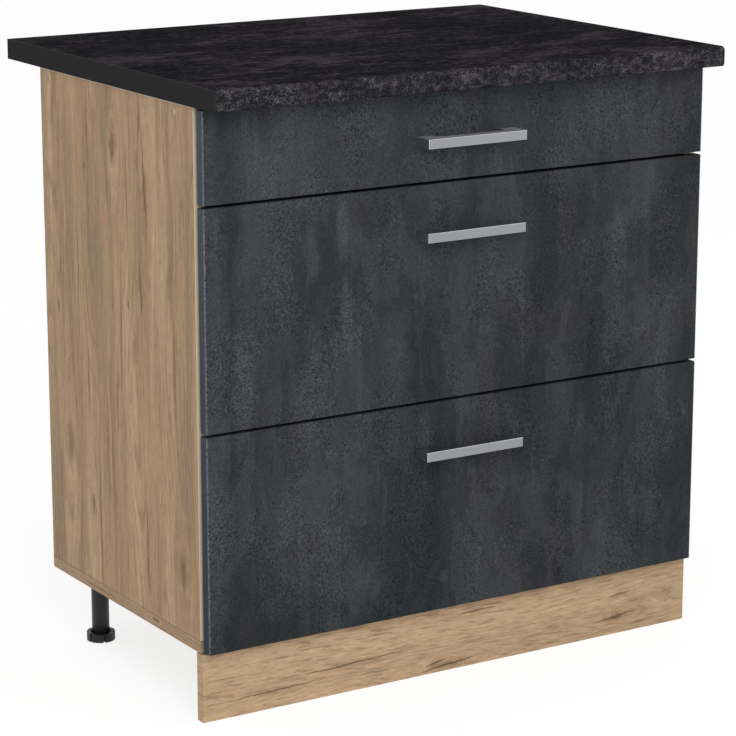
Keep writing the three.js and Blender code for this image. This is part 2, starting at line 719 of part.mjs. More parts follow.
// A bar pull cut from one rectangular block, with two broad legs and threaded bores in them.
function handle(name, z) {
  const halfLength = handleLength / 2;
  const gapHalf = halfLength - handleLegWidth;
  const barBack = handleBarDepth - handleProjection;
  const shape = outline([
    [-halfLength, -handleProjection, handleEdge],
    [halfLength, -handleProjection, handleEdge],
    [halfLength, 0],
    [gapHalf, 0],
    [gapHalf, barBack, handleInnerRadius],
    [-gapHalf, barBack, handleInnerRadius],
    [-gapHalf, 0],
    [-halfLength, 0],
  ]);
  const block = alongZ(shape, -handleHeight / 2, handleHeight / 2, { edge: handleEdge });
  const bores = [-1, 1].map((end) => barAlongY(handleThreadHole, -handleThreadDepth, cutMargin)
    .translate((end * handleScrewSpacing) / 2, 0, 0));
  return piece(name, combine(block, { cut: bores }), satinMetal, [0, 0, z]);
}

// A drawer with its runners. The group's origin is in its front's face, on the channels' floor.
function drawer({ name, frontBottom, frontHeight, runnerRise, sideHeight }) {
  const group = new THREE.Group();
  group.position.set(0, frontFace, frontBottom + runnerRise);
  const handleAt = frontHeight - handleDrop;
  const front = drawerFront(name, frontHeight, handleAt);
  group.add(piece(`drawer_front_${name}`, front, slate, [0, 0, -runnerRise]));
  group.add(handle(`handle_${name}`, handleAt - runnerRise));
  group.add(drawerBase(`drawer_base_${name}`));
  group.add(drawerBack(`drawer_back_${name}`, sideHeight));
  for (const { word, sign } of sides) {
    const label = `${name}_${word}`;
    const near = sign * (innerHalfWidth - rollerNear);
    const far = sign * (innerHalfWidth - rollerFar);
    group.add(drawerSide(`drawer_side_${label}`, sign, sideHeight));
    group.add(cabinetRunner(`cabinet_runner_${label}`, sign));
    group.add(roller(`cabinet_roller_${label}`, -sign, [near, cabinetAxleDepth, cabinetAxleHeight]));
    group.add(roller(`drawer_roller_${label}`, sign, [far, drawerAxleDepth, drawerAxleHeight]));
  }
  return group;
}

// ---------------------------------------------------------------- the cabinet

const cabinet = new THREE.Group();
cabinet.add(...sides.map(sidePanel), bottomPanel(), backPanel());
cabinet.add(topRail('top_rail_front', carcassFront, carcassFront + frontRailDepth));
cabinet.add(topRail('top_rail_rear', carcassBack - rearRailDepth, carcassBack));
cabinet.add(worktop(), ...sides.map(worktopEndStrip));
cabinet.add(plinth(), ...sides.map(plinthClip), ...feet());
cabinet.add(...drawers.map(drawer));

export default cabinet;
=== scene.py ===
# Looks of a kitchen base cabinet with three drawers: oak and slate decors, stone-look worktop,
# satin pulls, feet, rollers and fasteners.
import math

import bmesh
import bpy
from mathutils import Matrix, Vector


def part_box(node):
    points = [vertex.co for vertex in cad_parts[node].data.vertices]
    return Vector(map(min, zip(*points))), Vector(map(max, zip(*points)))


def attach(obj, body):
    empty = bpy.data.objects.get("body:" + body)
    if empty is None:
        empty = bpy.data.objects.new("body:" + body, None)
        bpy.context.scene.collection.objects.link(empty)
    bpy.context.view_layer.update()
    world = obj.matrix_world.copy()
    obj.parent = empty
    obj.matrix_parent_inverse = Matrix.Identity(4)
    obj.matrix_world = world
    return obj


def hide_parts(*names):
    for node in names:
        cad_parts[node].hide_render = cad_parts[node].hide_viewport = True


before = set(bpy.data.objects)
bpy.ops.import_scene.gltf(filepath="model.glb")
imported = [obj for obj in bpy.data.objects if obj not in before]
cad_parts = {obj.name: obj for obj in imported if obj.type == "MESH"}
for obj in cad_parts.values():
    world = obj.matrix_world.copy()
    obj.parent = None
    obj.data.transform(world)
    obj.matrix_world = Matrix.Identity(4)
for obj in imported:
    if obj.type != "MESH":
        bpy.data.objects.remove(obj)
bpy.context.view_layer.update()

mm = 0.001
creaseAngle = 35  # degrees, from which an edge counts as sharp
sides = {"left": -1, "right": 1}
drawers = ("bottom", "middle", "top")
feet = [f"{row}_{side}" for row in ("front", "rear") for side in sides]
fourWays = ((-1, -1), (1, -1), (1, 1), (-1, 1))


def lengths(**sizes):
    # sizes given in millimetres, kept in metres
    return {name: size * mm for name, size in sizes.items()}


# helpers for meshes

def addObject(name, data):
    made = bpy.data.objects.new(name, data)
    bpy.context.scene.collection.objects.link(made)
    return made


def closeShape(shape, mesh, fill):
    # closes what is open where fill asks for it, and keeps the shape in a mesh
    if fill:
        bmesh.ops.triangle_fill(shape, use_beauty=True, edges=[e for e in shape.edges if e.is_boundary])
    bmesh.ops.recalc_face_normals(shape, faces=shape.faces)
    shape.to_mesh(mesh)
    shape.free()


def addMeshPiece(name, vertices, faces, material, fill=False):
    mesh = bpy.data.meshes.new(name)
    mesh.from_pydata([tuple(v) for v in vertices], [], faces)
    shape = bmesh.new()
    shape.from_mesh(mesh)
    bmesh.ops.remove_doubles(shape, verts=shape.verts, dist=1e-6)
    closeShape(shape, mesh, fill)
    mesh.materials.append(material)
    return addObject(name, mesh)


def roundedOutline(corners, steps):
    # square corners (a, b) or (a, b, radius) in order round an outline; a radius becomes an arc
    points = []
    for i, (a, b, *radius) in enumerate(corners):
        here = Vector((a, b))
        if not radius:
            points.append(here)
            continue
        before = (Vector(corners[i - 1][:2]) - here).normalized() * radius[0]
        after = (Vector(corners[(i + 1) % len(corners)][:2]) - here).normalized() * radius[0]
        for step in range(steps + 1):
            angle = math.pi / 2 * step / steps
            points.append(here + before * (1 - math.sin(angle)) + after * (1 - math.cos(angle)))
    return points


def wallFaces(count, rings, first=0):
    # quads between rings of count points each, which follow one another from a first point
    return [(k + i, k + (i + 1) % count, k + count + (i + 1) % count, k + count + i)
            for k in range(first, first + (rings - 1) * count, count) for i in range(count)]


def extrudeOutline(name, outline, axis, low, high, material, x=0.0, y=0.0):
    # draws an outline out along axis 0, 1 or 2; the outline's own two axes keep their order
    count = len(outline)
    vertices = []
    for end in (low, high):
        for point in outline:
            place = list(point)
            place.insert(axis, end)
            vertices.append((place[0] + x, place[1] + y, place[2]))
    faces = [tuple(range(count)), tuple(range(count, 2 * count)), *wallFaces(count, 2)]
    return addMeshPiece(name, vertices, faces, material)


def onCircle(share, radius, z=0.0):
    # a point after the given share of a turn
    angle = 2 * math.pi * share
    return Vector((radius * math.cos(angle), radius * math.sin(angle), z))


def latheProfile(name, profile, segments, material, place=Matrix()):
    # turns a profile [(radius, height)] round Z; a ring of radius 0 is merged into a point
    vertices = [place @ onCircle(i / segments, radius, height) for radius, height in profile
                for i in range(segments)]
    return addMeshPiece(name, vertices, wallFaces(segments, len(profile)), material)


def bakeModifiers(piece):
    # keeps what the modifiers make as a plain mesh
    graph = bpy.context.evaluated_depsgraph_get()
    made = bpy.data.meshes.new_from_object(piece.evaluated_get(graph), depsgraph=graph)
    piece.modifiers.clear()
    plain = piece.data
    piece.data = made
    bpy.data.meshes.remove(plain)
    made.name = piece.name


def smoothFaces(piece):
    for face in piece.data.polygons:
        face.use_smooth = True


def smoothByAngle(piece, degrees=creaseAngle):
    smoothFaces(piece)
    piece.data.set_sharp_from_angle(angle=math.radians(degrees))


def softenEdges(piece, width, segments=3):
    bevel = piece.modifiers.new("softEdges", "BEVEL")
    bevel.width = width
    bevel.segments = segments
    bevel.limit_method = "ANGLE"
    bevel.angle_limit = math.radians(creaseAngle)
    flat = piece.modifiers.new("flatFaces", "WEIGHTED_NORMAL")
    flat.keep_sharp = True
    smoothFaces(piece)
    bakeModifiers(piece)


def finishPiece(piece, body, slot, *replaced):
    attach(piece, body)
    if replaced:
        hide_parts(*replaced)


# helpers for node trees

class Field:
    # an output of a node, so that a tree can be written as sums
    def __init__(self, output):
        self.output = output

    def __add__(self, other):
        return calc("ADD", self, other)

    def __sub__(self, other):
        return calc("SUBTRACT", self, other)

    def __mul__(self, other):
        return calc("MULTIPLY", self, other)

    def __truediv__(self, other):
        return calc("DIVIDE", self, other)


def newNode(tree, kind, sockets=None, **settings):
    made = tree.nodes.new(kind)
    for name, value in settings.items():
        setattr(made, name, value)
    for key, value in (sockets or {}).items():
        if isinstance(value, Field):
            tree.links.new(value.output, made.inputs[key])
        else:
            made.inputs[key].default_value = value
    return made


def addNode(kind, sockets, pick=0, **settings):
    # joins a node to the tree of the fields it takes in, and gives one of its outputs
    tree = next(value.output.id_data for value in sockets.values() if isinstance(value, Field))
    return Field(newNode(tree, kind, sockets, **settings).outputs[pick])


def fieldsOf(node):
    return {item.name: Field(item) for item in node.outputs}


def axesOf(vector):
    return fieldsOf(newNode(vector.output.id_data, "ShaderNodeSeparateXYZ", {0: vector}))


def joined(x, y, z=0.0):
    return addNode("ShaderNodeCombineXYZ", {0: x, 1: y, 2: z})


def calc(operation, a, b=0.0, c=0.0, clamp=False):
    return addNode("ShaderNodeMath", {0: a, 1: b, 2: c}, operation=operation, use_clamp=clamp)


def scaled(value, factor, offset, clamp=False):
    return calc("MULTIPLY_ADD", value, factor, offset, clamp)


def noise(place, size, detail=3.0, roughness=0.55, distortion=0.0, scale=1.0):
    # size is how often the pattern changes in a metre: one number, or one for each axis
    if isinstance(size, tuple):
        place = addNode("ShaderNodeVectorMath", {0: place, 1: size}, operation="MULTIPLY")
    else:
        scale = size
    return addNode("ShaderNodeTexNoise", {"Vector": place, "Scale": scale, "Detail": detail,
                                          "Roughness": roughness, "Distortion": distortion})


def between(value, low, high, start=0.0, end=1.0):
    # a smooth step of value from start, at low, to end, at high
    return addNode("ShaderNodeMapRange",
                   {"Value": value, "From Min": low, "From Max": high, "To Min": start, "To Max": end},
                   interpolation_type="SMOOTHSTEP")


def mix(factor, first, second, blend="MIX"):
    return addNode("ShaderNodeMix", {0: factor, 6: first, 7: second}, 2, data_type="RGBA",
                   blend_type=blend)


def shaded(colour, value, swing=1.0, base=0.0):
    # darkens and lightens a colour by base + swing * value
    if (swing, base) != (1.0, 0.0):
        value = scaled(value, swing, base)
    grey = addNode("ShaderNodeCombineColor", {0: value, 1: value, 2: value})
    return mix(1.0, colour, grey, "MULTIPLY")


def painted(colour, look, coats):
    # coats are (field, from, to, share, shade) or (mask, share, shade), laid one over another
    for field, *steps, share, shade in coats:
        mask = between(field, *steps) if steps else field
        colour = mix(mask * share, colour, look[shade])
    return colour


def ramp(value, look):
    made = newNode(value.output.id_data, "ShaderNodeValToRGB", {"Fac": value})
    band = made.color_ramp
    while len(band.elements) < len(look["ramp"]):
        band.elements.new(0.5)
    for element, (place, shade) in zip(band.elements, look["ramp"]):
        element.position = place
        element.color = look[shade]
    return Field(made.outputs["Color"])


def linear(red, green, blue):
    # a colour as a screen shows it, 0 to 255, made ready for the shaders
    def channel(value):
        value /= 255
        return value / 12.92 if value <= 0.04045 else ((value + 0.055) / 1.055) ** 2.4
    return (channel(red), channel(green), channel(blue), 1)


def shades(**colours):
    return {name: linear(*colour) for name, colour in colours.items()}


shaderParts = {"roughness": "Roughness", "metallic": "Metallic", "specular": "Specular IOR Level"}


def newMaterial(name, look):
    # gives the material, its coordinates and the noises of its look
    material = bpy.data.materials.new(name)
    material.use_nodes = True
    shader = material.node_tree.nodes["Principled BSDF"]
    for part, label in shaderParts.items():
        if part in look:
            shader.inputs[label].default_value = look[part]
    coords = fieldsOf(newNode(material.node_tree, "ShaderNodeTexCoord"))["Object"]
    figure = {label: noise(coords, *shape) for label, shape in look.get("noise", {}).items()}
    return material, coords, figure


def facingOf(coords):
    # which way a surface faces, axis by axis
    return axesOf(fieldsOf(coords.output.node)["Normal"])


def closeMaterial(material, look, colour, height=None, gloss=None, even=None):
    # height is the relief of the surface; gloss makes the roughness swing round an even value, by
    # the look's (swing, offset)
    tree = material.node_tree
    wires = {"Base Color": colour}
    if height:
        distance, strength = look["bump"]
        wires["Normal"] = addNode("ShaderNodeBump",
                                  {"Height": height, "Distance": distance, "Strength": strength})
    if gloss:
        swing, offset = look["gloss"]
        wires["Roughness"] = scaled(gloss, swing, even or look["roughness"] + offset)
    for label, field in wires.items():
        tree.links.new(field.output, tree.nodes["Principled BSDF"].inputs[label])
    return material


socketKinds = {"Place": "Vector", "Geometry": "Geometry", "Head": "Object", "Finish": "Material",
               "Seed": "Int"}


def newGroup(name, inputs, outputs, kind="ShaderNodeTree"):
    group = bpy.data.node_groups.new(name, kind)
    for way, labels in (("INPUT", inputs), ("OUTPUT", outputs)):
        for label in labels:
            group.interface.new_socket(label, in_out=way,
                                       socket_type="NodeSocket" + socketKinds.get(label, "Float"))
    return group, fieldsOf(group.nodes.new("NodeGroupInput"))


def eachFeature(group, shared, labels, features):
    # one node of the group for each feature
    tree = next(iter(shared.values())).output.id_data
    for feature in features:
        yield fieldsOf(newNode(tree, "ShaderNodeGroup", {**shared, **dict(zip(labels, feature))},
                               node_tree=group))


# oak decor; board space is (across the grain, along the grain, depth), in metres

crackLook = {
    "labels": ("Middle across", "Middle along", "Half length", "Width", "Lean"),
    "crook": (28, 4, 0.6),   # noise, like uneven and rag
    "crookReach": 0.008,
    "taper": 1.6,
    "uneven": (90, 2),
    "leastWidth": 1e-5,
    "paintedSplitShade": 0.28,           # painted shade on the wood beside the split, as a share
}
knotLook = {
    "labels": ("Middle across", "Middle along", "Half width", "Half length", "Push", "Darkness"),
    "fall": -0.22,
    "rag": (2.4, 4, 0.65),
    "ragReach": 1.5,
}


def raggedOval(a, b, rag, reach):
    # grows from 0 in the middle of an oval to about 1 on its rim; a and b count its half axes
    return calc("SQRT", a * a + b * b) + scaled(rag, reach, -reach / 2)


def makeCrackGroup():
    # a long dark split: thin, tapering to both ends and a little crooked, with painted shade beside it
    look = crackLook
    group, given = newGroup("oakCrack", ("Across", "Along", *look["labels"]), ("Mask",))
    along = given["Along"] - given["Middle along"]
    axis = given["Middle across"] + along * given["Lean"]
    line = joined(given["Along"], given["Middle across"])
    axis = scaled(noise(line, *look["crook"]) - 0.5, look["crookReach"], axis)
    distance = calc("ABSOLUTE", given["Across"] - axis)
    share = calc("ABSOLUTE", along / given["Half length"])
    taper = calc("SUBTRACT", 1, calc("POWER", share, look["taper"]), clamp=True)
    uneven = between(noise(line, *look["uneven"]), 0.18, 0.5, 0.25, 1.0)
    width = given["Width"] * (taper * uneven)
    share = distance / calc("MAXIMUM", width, look["leastWidth"])
    # painted shade: the wood darkens towards the split
    paintedSplitShade = between(share, 4.5, 0.6) * look["paintedSplitShade"]
    newNode(group, "NodeGroupOutput", {"Mask": calc("MAXIMUM", between(share, 1.15, 0.4), paintedSplitShade)})
    return group


def makeKnotGroup():
    # a knot: pushes the grain aside and darkens a small, ragged, spindle-shaped heart
    look = knotLook
    group, given = newGroup("oakKnot", ("Across", "Along", *look["labels"]), ("Mask", "Bend"))
    across = given["Across"] - given["Middle across"]
    a = across / given["Half width"]
    b = (given["Along"] - given["Middle along"]) / given["Half length"]
    bend = across * calc("EXPONENT", (a * a + b * b) * look["fall"]) * given["Push"]
    rag = noise(joined(a, b, given["Middle along"]), *look["rag"])
    mask = between(raggedOval(a, b, rag, look["ragReach"]), 1.0, 0.25) * given["Darkness"]
    newNode(group, "NodeGroupOutput", {"Mask": mask, "Bend": bend})
    return group


crackGroup = makeCrackGroup()
knotGroup = makeKnotGroup()

oakLook = {
    **shades(plain=(163, 138, 110), pale=(177, 152, 122), light=(190, 166, 136), warm=(160, 132, 104),
             grey=(140, 121, 98), vein=(112, 93, 72), crack=(78, 62, 44)),
    "ramp": [(0.36, "grey"), (0.47, "warm"), (0.54, "plain"), (0.64, "pale")],
    "roughness": 0.66,
    "gloss": (0.16, -0.06),
    "specular": 0.22,
    "bump": (0.12 * mm, 0.6),
    "sway": ((5, 2.6, 5), 2),
    "swayReach": 0.022,
    "ripple": ((60, 55, 20), 2),
    "rippleReach": 0.006,
    "hatchSlant": 0.22,
    "ringCount": 190,
}
# noises in board space: changes in a metre across, along and through, detail, roughness, distortion
oakNoise = {
    "broad": ((24, 1.3, 9), 3, 0.6), "stripes": ((74, 3.2, 12), 4, 0.66, 0.5),
    "growth": ((9, 0.9, 4), 1.5, 0.45), "ringZone": ((22, 4.5, 8), 3),
    "veins": ((120, 4.2, 20), 3, 0.6, 0.6), "veinZone": ((30, 7, 9), 3),
    "hatch": ((190, 50, 60), 3, 0.72), "fibre": ((290, 13, 60), 4, 0.72),
    "specks": ((130, 34, 60), 2, 0.5), "pores": ((900, 60, 90), 1),
    "dash": ((310, 27, 40), 3, 0.6),
}


def makeOak(name, board, knots=(), cracks=(), tint=None, contrast=1.0, dashes=0.25, shift=0.0,
            bands=()):
    # board names the axes across, along and through, such as "YZX"; bands are (axis, low, high,
    # dark colour, pale colour) of an edging with a painted highlight, or of painted shade along a joint
    look = oakLook
    material, coords, _ = newMaterial(name, look)
    axes = axesOf(coords)
    across, along, depth = (axes[letter] for letter in board)
    place = {"Across": across, "Along": along}
    bend = dark = crack = 0.0
    for knot in eachFeature(knotGroup, place, knotLook["labels"], knots):
        bend = calc("ADD", bend, knot["Bend"])
        dark = calc("MAXIMUM", dark, knot["Mask"])
    for split in eachFeature(crackGroup, place, crackLook["labels"], cracks):
        crack = calc("MAXIMUM", crack, split["Mask"])

    bent = across - bend
    moved = depth + shift
    sway = noise(joined(bent, along, moved), *look["sway"]) - 0.5
    swayed = scaled(sway, look["swayReach"], bent)
    grain = joined(swayed, along, moved)
    rippled = scaled(noise(grain, *look["ripple"]) - 0.5, look["rippleReach"], swayed)
    places = {"hatch": joined(scaled(along, look["hatchSlant"], bent), along, moved),
              "dash": joined(rippled, along, moved)}
    figure = {label: noise(places.get(label, grain), *shape) for label, shape in oakNoise.items()}
    # growth rings are contour lines of a long, slow field, so that they close round lens shapes
    rings = calc("SINE", figure["growth"] * look["ringCount"])
    poreMask = between(figure["pores"], 0.63, 0.72)

    # broad bands of board colour, narrower streaks, rings and thin dark veins
    colour = mix(1 - contrast, ramp(figure["broad"], look), look["plain"])
    colour = painted(colour, look, [
        (figure["stripes"], 0.50, 0.72, 0.8 * contrast, "grey"),
        (figure["stripes"], 0.46, 0.28, 0.7 * contrast, "pale"),
        (between(rings, 0.15, 1.0) * between(figure["ringZone"], 0.42, 0.66), 0.45 * contrast, "vein"),
        (between(figure["veins"], 0.57, 0.70) * between(figure["veinZone"], 0.47, 0.63),
         0.9 * contrast, "vein")])
    # slanting hatch of short fibres, finer fibres, open pores and short wavy dashes
    colour = shaded(colour, figure["hatch"], 0.50, 0.75)
    colour = shaded(colour, figure["fibre"], 0.44, 0.78)
    colour = painted(colour, look, [
        (figure["specks"], 0.66, 0.78, 0.55 * contrast, "vein"),
        (poreMask, 0.42, "vein"),
        (figure["dash"], 0.52, 0.66, dashes, "vein"),
        (figure["dash"], 0.46, 0.32, 0.6 * dashes, "light")])

    height = scaled(poreMask, -0.5, figure["fibre"])
    if knots:
        halo = calc("MULTIPLY", dark, scaled(figure["hatch"], 1.0, 0.45), clamp=True)
        colour = mix(halo, colour, look["crack" if contrast < 1 else "vein"])
    if cracks:
        colour = painted(colour, look, [(crack, 0.88, "crack")])
        height = scaled(crack, -1.6, height)
    if tint:
        colour = mix(1.0, colour, tint, "MULTIPLY")
    # painted highlight on the edgings and painted shade along the joint, laid over the grain
    for letter, low, high, dim, bright in bands:
        inside = calc("GREATER_THAN", axes[letter], low) * calc("LESS_THAN", axes[letter], high)
        trim = mix(scaled(figure["fibre"], 0.9, -0.2, clamp=True), dim, bright)
        colour = mix(inside, colour, trim)
    return closeMaterial(material, look, colour, height, figure["stripes"])


# places on the boards, in metres, in the order of the labels above
leftSideFeatures = {
    "knots": [(-0.014, 0.738, 0.011, 0.034, 1.3, 0.9), (-0.195, 0.196, 0.012, 0.042, 1.4, 0.9),
              (-0.052, 0.531, 0.004, 0.012, 1.0, 0.9), (0.162, 0.489, 0.004, 0.016, 1.0, 0.9),
              (0.134, 0.300, 0.010, 0.060, 1.5, 0.6), (0.066, 0.226, 0.005, 0.020, 1.2, 0.8),
              (0.072, 0.700, 0.004, 0.009, 1.0, 0.9), (-0.104, 0.690, 0.009, 0.050, 1.0, 0.6)],
    "cracks": [(-0.092, 0.786, 0.036, 0.0011, -0.10), (-0.104, 0.690, 0.072, 0.0013, 0.08),
               (-0.052, 0.690, 0.060, 0.0008, 0.03), (-0.029, 0.480, 0.110, 0.0009, -0.03),
               (0.044, 0.190, 0.120, 0.0012, 0.01), (-0.015, 0.400, 0.070, 0.0012, -0.03),
               (-0.095, 0.200, 0.075, 0.0011, 0.02), (-0.088, 0.560, 0.040, 0.0016, 0.05),
               (-0.180, 0.480, 0.090, 0.0009, 0.04), (0.098, 0.560, 0.120, 0.0008, 0.0)],
}
rightSideFeatures = {
    "knots": [(0.060, 0.640, 0.010, 0.030, 1.3, 0.9), (-0.090, 0.270, 0.012, 0.040, 1.4, 0.8),
              (0.140, 0.420, 0.005, 0.016, 1.0, 0.9)],
    "cracks": [(0.020, 0.460, 0.090, 0.0010, 0.04), (-0.150, 0.600, 0.070, 0.0012, -0.03),
               (0.110, 0.220, 0.060, 0.0011, 0.02)],
}
plinthFeatures = {
    "knots": [(0.010, -0.020, 0.006, 0.030, 1.4, 0.35), (0.026, 0.285, 0.006, 0.034, 1.3, 0.4),
              (0.044, 0.352, 0.010, 0.050, 1.0, 0.10)],
    "cracks": [(0.040, -0.170, 0.080, 0.0015, 0.03), (0.025, -0.292, 0.066, 0.0014, 0.03),
               (0.009, -0.012, 0.050, 0.0019, 0.10), (0.014, -0.034, 0.018, 0.0018, 0.16),
               (0.079, 0.034, 0.036, 0.0015, 0.0), (0.059, 0.284, 0.022, 0.0012, 0.05),
               (0.026, 0.276, 0.042, 0.0018, 0.12), (0.084, 0.060, 0.024, 0.0007, 0.0),
               (0.074, -0.130, 0.020, 0.0006, 0.02), (0.012, 0.322, 0.028, 0.0007, 0.10)],
}
floorFeatures = {
    "knots": [(0.106, -0.114, 0.0035, 0.014, 1.2, 1.0)],
    "cracks": [(0.103, 0.05, 0.05, 0.0006, 0.0)],
}
edgingLook = {
    # the pale edging colours are the edge band with a painted highlight on it, at the front and the top
    "edgingAndHighlight": (linear(184, 168, 144), linear(206, 191, 166)),
    # the seam colours are painted shade along the joint with the bottom panel
    "jointShade": (linear(96, 78, 58), linear(128, 107, 82)),
    # past is how far a band goes past the board
    **lengths(frontWidth=0.9, topWidth=2.2, seamWidth=0.9, past=1),
}


def edgeBands():
    low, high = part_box("side_panel_left")
    look = edgingLook
    return [("Y", low.y - look["past"], low.y + look["frontWidth"], *look["edgingAndHighlight"]),
            ("Z", high.z - look["topWidth"], high.z + look["past"], *look["edgingAndHighlight"]),
            ("Z", low.z - look["past"], low.z + look["seamWidth"], *look["jointShade"])]


sideLook = {"tint": (1.06, 1.035, 1.01, 1), "bands": edgeBands()}
oakLeft = makeOak("oakLeftSide", "YZX", **leftSideFeatures, **sideLook)
oakRight = makeOak("oakRightSide", "YZX", **rightSideFeatures, **sideLook, shift=0.7)
oakPlinth = makeOak("oakPlinth", "ZXY", **plinthFeatures, tint=(1.20, 1.185, 1.14, 1), contrast=0.34,
                    dashes=0.6, shift=2.0)
oakFloor = makeOak("oakBottomPanel", "ZYX", **floorFeatures, shift=1.3)
oakRails = makeOak("oakRails", "YXZ", shift=3.1, contrast=0.8)
print("oak ready")


# slate decor of the drawer fronts

slateLook = {
    # edge is a painted highlight for the rim; the two flank colours paint the flanks shaded low and lit
    # high
    **shades(base=(45, 48, 51), cool=(40, 47, 50), warm=(50, 49, 51), pale=(70, 72, 75),
             deep=(33, 36, 39), edge=(108, 111, 118), lowFlank=(52, 60, 67), highFlank=(72, 79, 88)),
    "flankHeights": (0.15, 0.75),   # between which the flank's painted light goes from shaded to lit
    **lengths(flankWidth=0.25, rimWidth=1.6),
    "ramp": [(0.36, "deep"), (0.5, "base"), (0.66, "pale")],
    "roughness": 0.66,
    "gloss": (-0.16, 0.08),
    "specular": 0.05,
    "bump": (0.2 * mm, 0.6),
    "noise": {"wide": ((5.5, 5.5, 3.4), 4, 0.6), "hue": ((7, 7, 3), 5, 0.62, 0.6, 1.3),
              "filler": ((13, 13, 5.2), 6, 0.6, 0.35), "streak": ((40, 40, 3.4), 5, 0.64, 0.3),
              "gritZone": ((18, 18, 11), 4), "grit": (560, 2, 0.7),
              "coarse": ((270, 270, 230), 3, 0.74)},
}
markLook = {
    "labels": ("X", "Z", "Half width", "Half height", "Strength"),
    "rag": ((34, 34, 16), 4, 0.6),
    "ragReach": 1.6,
}
# trowel marks on the fronts' faces, in metres, in the order of the labels
trowelMarks = [
    (-0.238, 0.620, 0.016, 0.052, 0.55), (-0.192, 0.650, 0.012, 0.048, 0.70),
    (-0.187, 0.530, 0.013, 0.060, 0.50), (-0.345, 0.450, 0.022, 0.110, 0.55),
    (-0.300, 0.730, 0.020, 0.060, 0.40), (0.256, 0.560, 0.014, 0.080, 0.40),
    (-0.172, 0.150, 0.040, 0.040, 0.35), (-0.030, 0.145, 0.010, 0.012, 0.45),
    (0.120, 0.230, 0.030, 0.080, 0.30), (-0.110, 0.470, 0.030, 0.070, 0.35),
    (-0.100, 0.757, 0.520, 0.110, 0.26), (-0.250, 0.500, 0.160, 0.260, 0.10),
    (-0.392, 0.450, 0.030, 0.600, 0.50),
]


def makeMarkGroup():
    # one soft, ragged trowel mark
    look = markLook
    group, given = newGroup("trowelMark", ("Place", *look["labels"]), ("Mask",))
    axes = axesOf(given["Place"])
    a = (axes["X"] - given["X"]) / given["Half width"]
    b = (axes["Z"] - given["Z"]) / given["Half height"]
    oval = raggedOval(a, b, noise(given["Place"], *look["rag"]), look["ragReach"])
    newNode(group, "NodeGroupOutput", {"Mask": between(oval, 1.15, 0.35) * given["Strength"]})
    return group


markGroup = makeMarkGroup()


def makeSlate(name, box):
    # box holds the corners of the fronts, whose rims catch the light
    look = slateLook
    material, coords, figure = newMaterial(name, look)
    marks = 0.0
    for mark in eachFeature(markGroup, {"Place": coords}, markLook["labels"], trowelMarks):
        marks = calc("MAXIMUM", marks, mark["Mask"])

    # coats of filler: noise cut at two levels leaves the ragged steps of a trowelled wall
    step = between(figure["filler"], 0.540, 0.560)
    colour = mix(0.45, look["base"], ramp(figure["wide"], look))
    colour = painted(colour, look, [
        (figure["hue"], 0.44, 0.58, 0.6, "warm"),
        (figure["hue"], 0.50, 0.38, 0.6, "cool"),
        (step, 0.26, "pale"),
        (figure["filler"], 0.455, 0.435, 0.42, "deep"),
        (figure["streak"], 0.55, 0.74, 0.38, "pale"),
        (figure["streak"], 0.45, 0.28, 0.45, "deep"),
        (marks, 0.9, "pale")])

    # sandy grit in two sizes, stronger in patches and on the marks
    amount = scaled(between(figure["gritZone"], 0.44, 0.60), 0.85, scaled(marks, 0.5, 0.6))
    grit = scaled(figure["coarse"], 0.6, figure["grit"])
    colour = shaded(colour, (grit - 0.8) * amount, 2.2, 1.0)

    # painted highlight: the rim along the side edges is paler; the flanks are bluer than the face, with
    # painted light from shaded at the bottom to lit at the top
    axes = axesOf(coords)
    outward = calc("ABSOLUTE", axes["X"])
    flank = calc("GREATER_THAN", outward, box[1].x - look["flankWidth"])
    rim = (calc("GREATER_THAN", outward, box[1].x - look["rimWidth"])
           * calc("LESS_THAN", axes["Y"], box[0].y + look["rimWidth"]))
    flankPaintedLight = mix(between(axes["Z"], *look["flankHeights"]), look["lowFlank"], look["highFlank"])
    colour = mix(flank * 0.8, colour, flankPaintedLight)
    # painted highlight along the rim
    colour = mix(rim * between(grit, 0.62, 1.0, 0.15, 1.0), colour, look["edge"])
    height = scaled(step, 0.5, grit * amount)
    return closeMaterial(material, look, colour, height, figure["wide"])


slate = makeSlate("slateDecor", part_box("drawer_front_middle"))


# worktop laminate

worktopLook = {
    **shades(base=(22, 21, 23), deep=(14, 13, 15), cloud=(62, 56, 63), ash=(96, 94, 98),
             nose=(58, 56, 60), backing=(120, 104, 82), backingDark=(96, 82, 64)),
    "backingDepth": 0.05 * mm,
    "noseReach": (9 * mm, 3 * mm),   # behind the front edge, from the top's look to the nose's
    "ramp": [(0.36, "deep"), (0.54, "base"), (0.76, "cloud")],
    "roughness": 0.6,
    "gloss": (0.25, -0.1),
    "specular": 0.0005,
    "bump": (0.3 * mm, 0.8),
    "noise": {"clouds": ((6, 11, 11), 5, 0.64, 0.5), "wisps": ((17, 100, 60), 5, 0.68, 0.8),
              "flecks": (400, 3, 0.75), "fleckZone": ((20, 34, 34), 4, 0.6),
              "clots": ((90, 120, 120), 3, 0.7), "paper": (900, 2)},
}


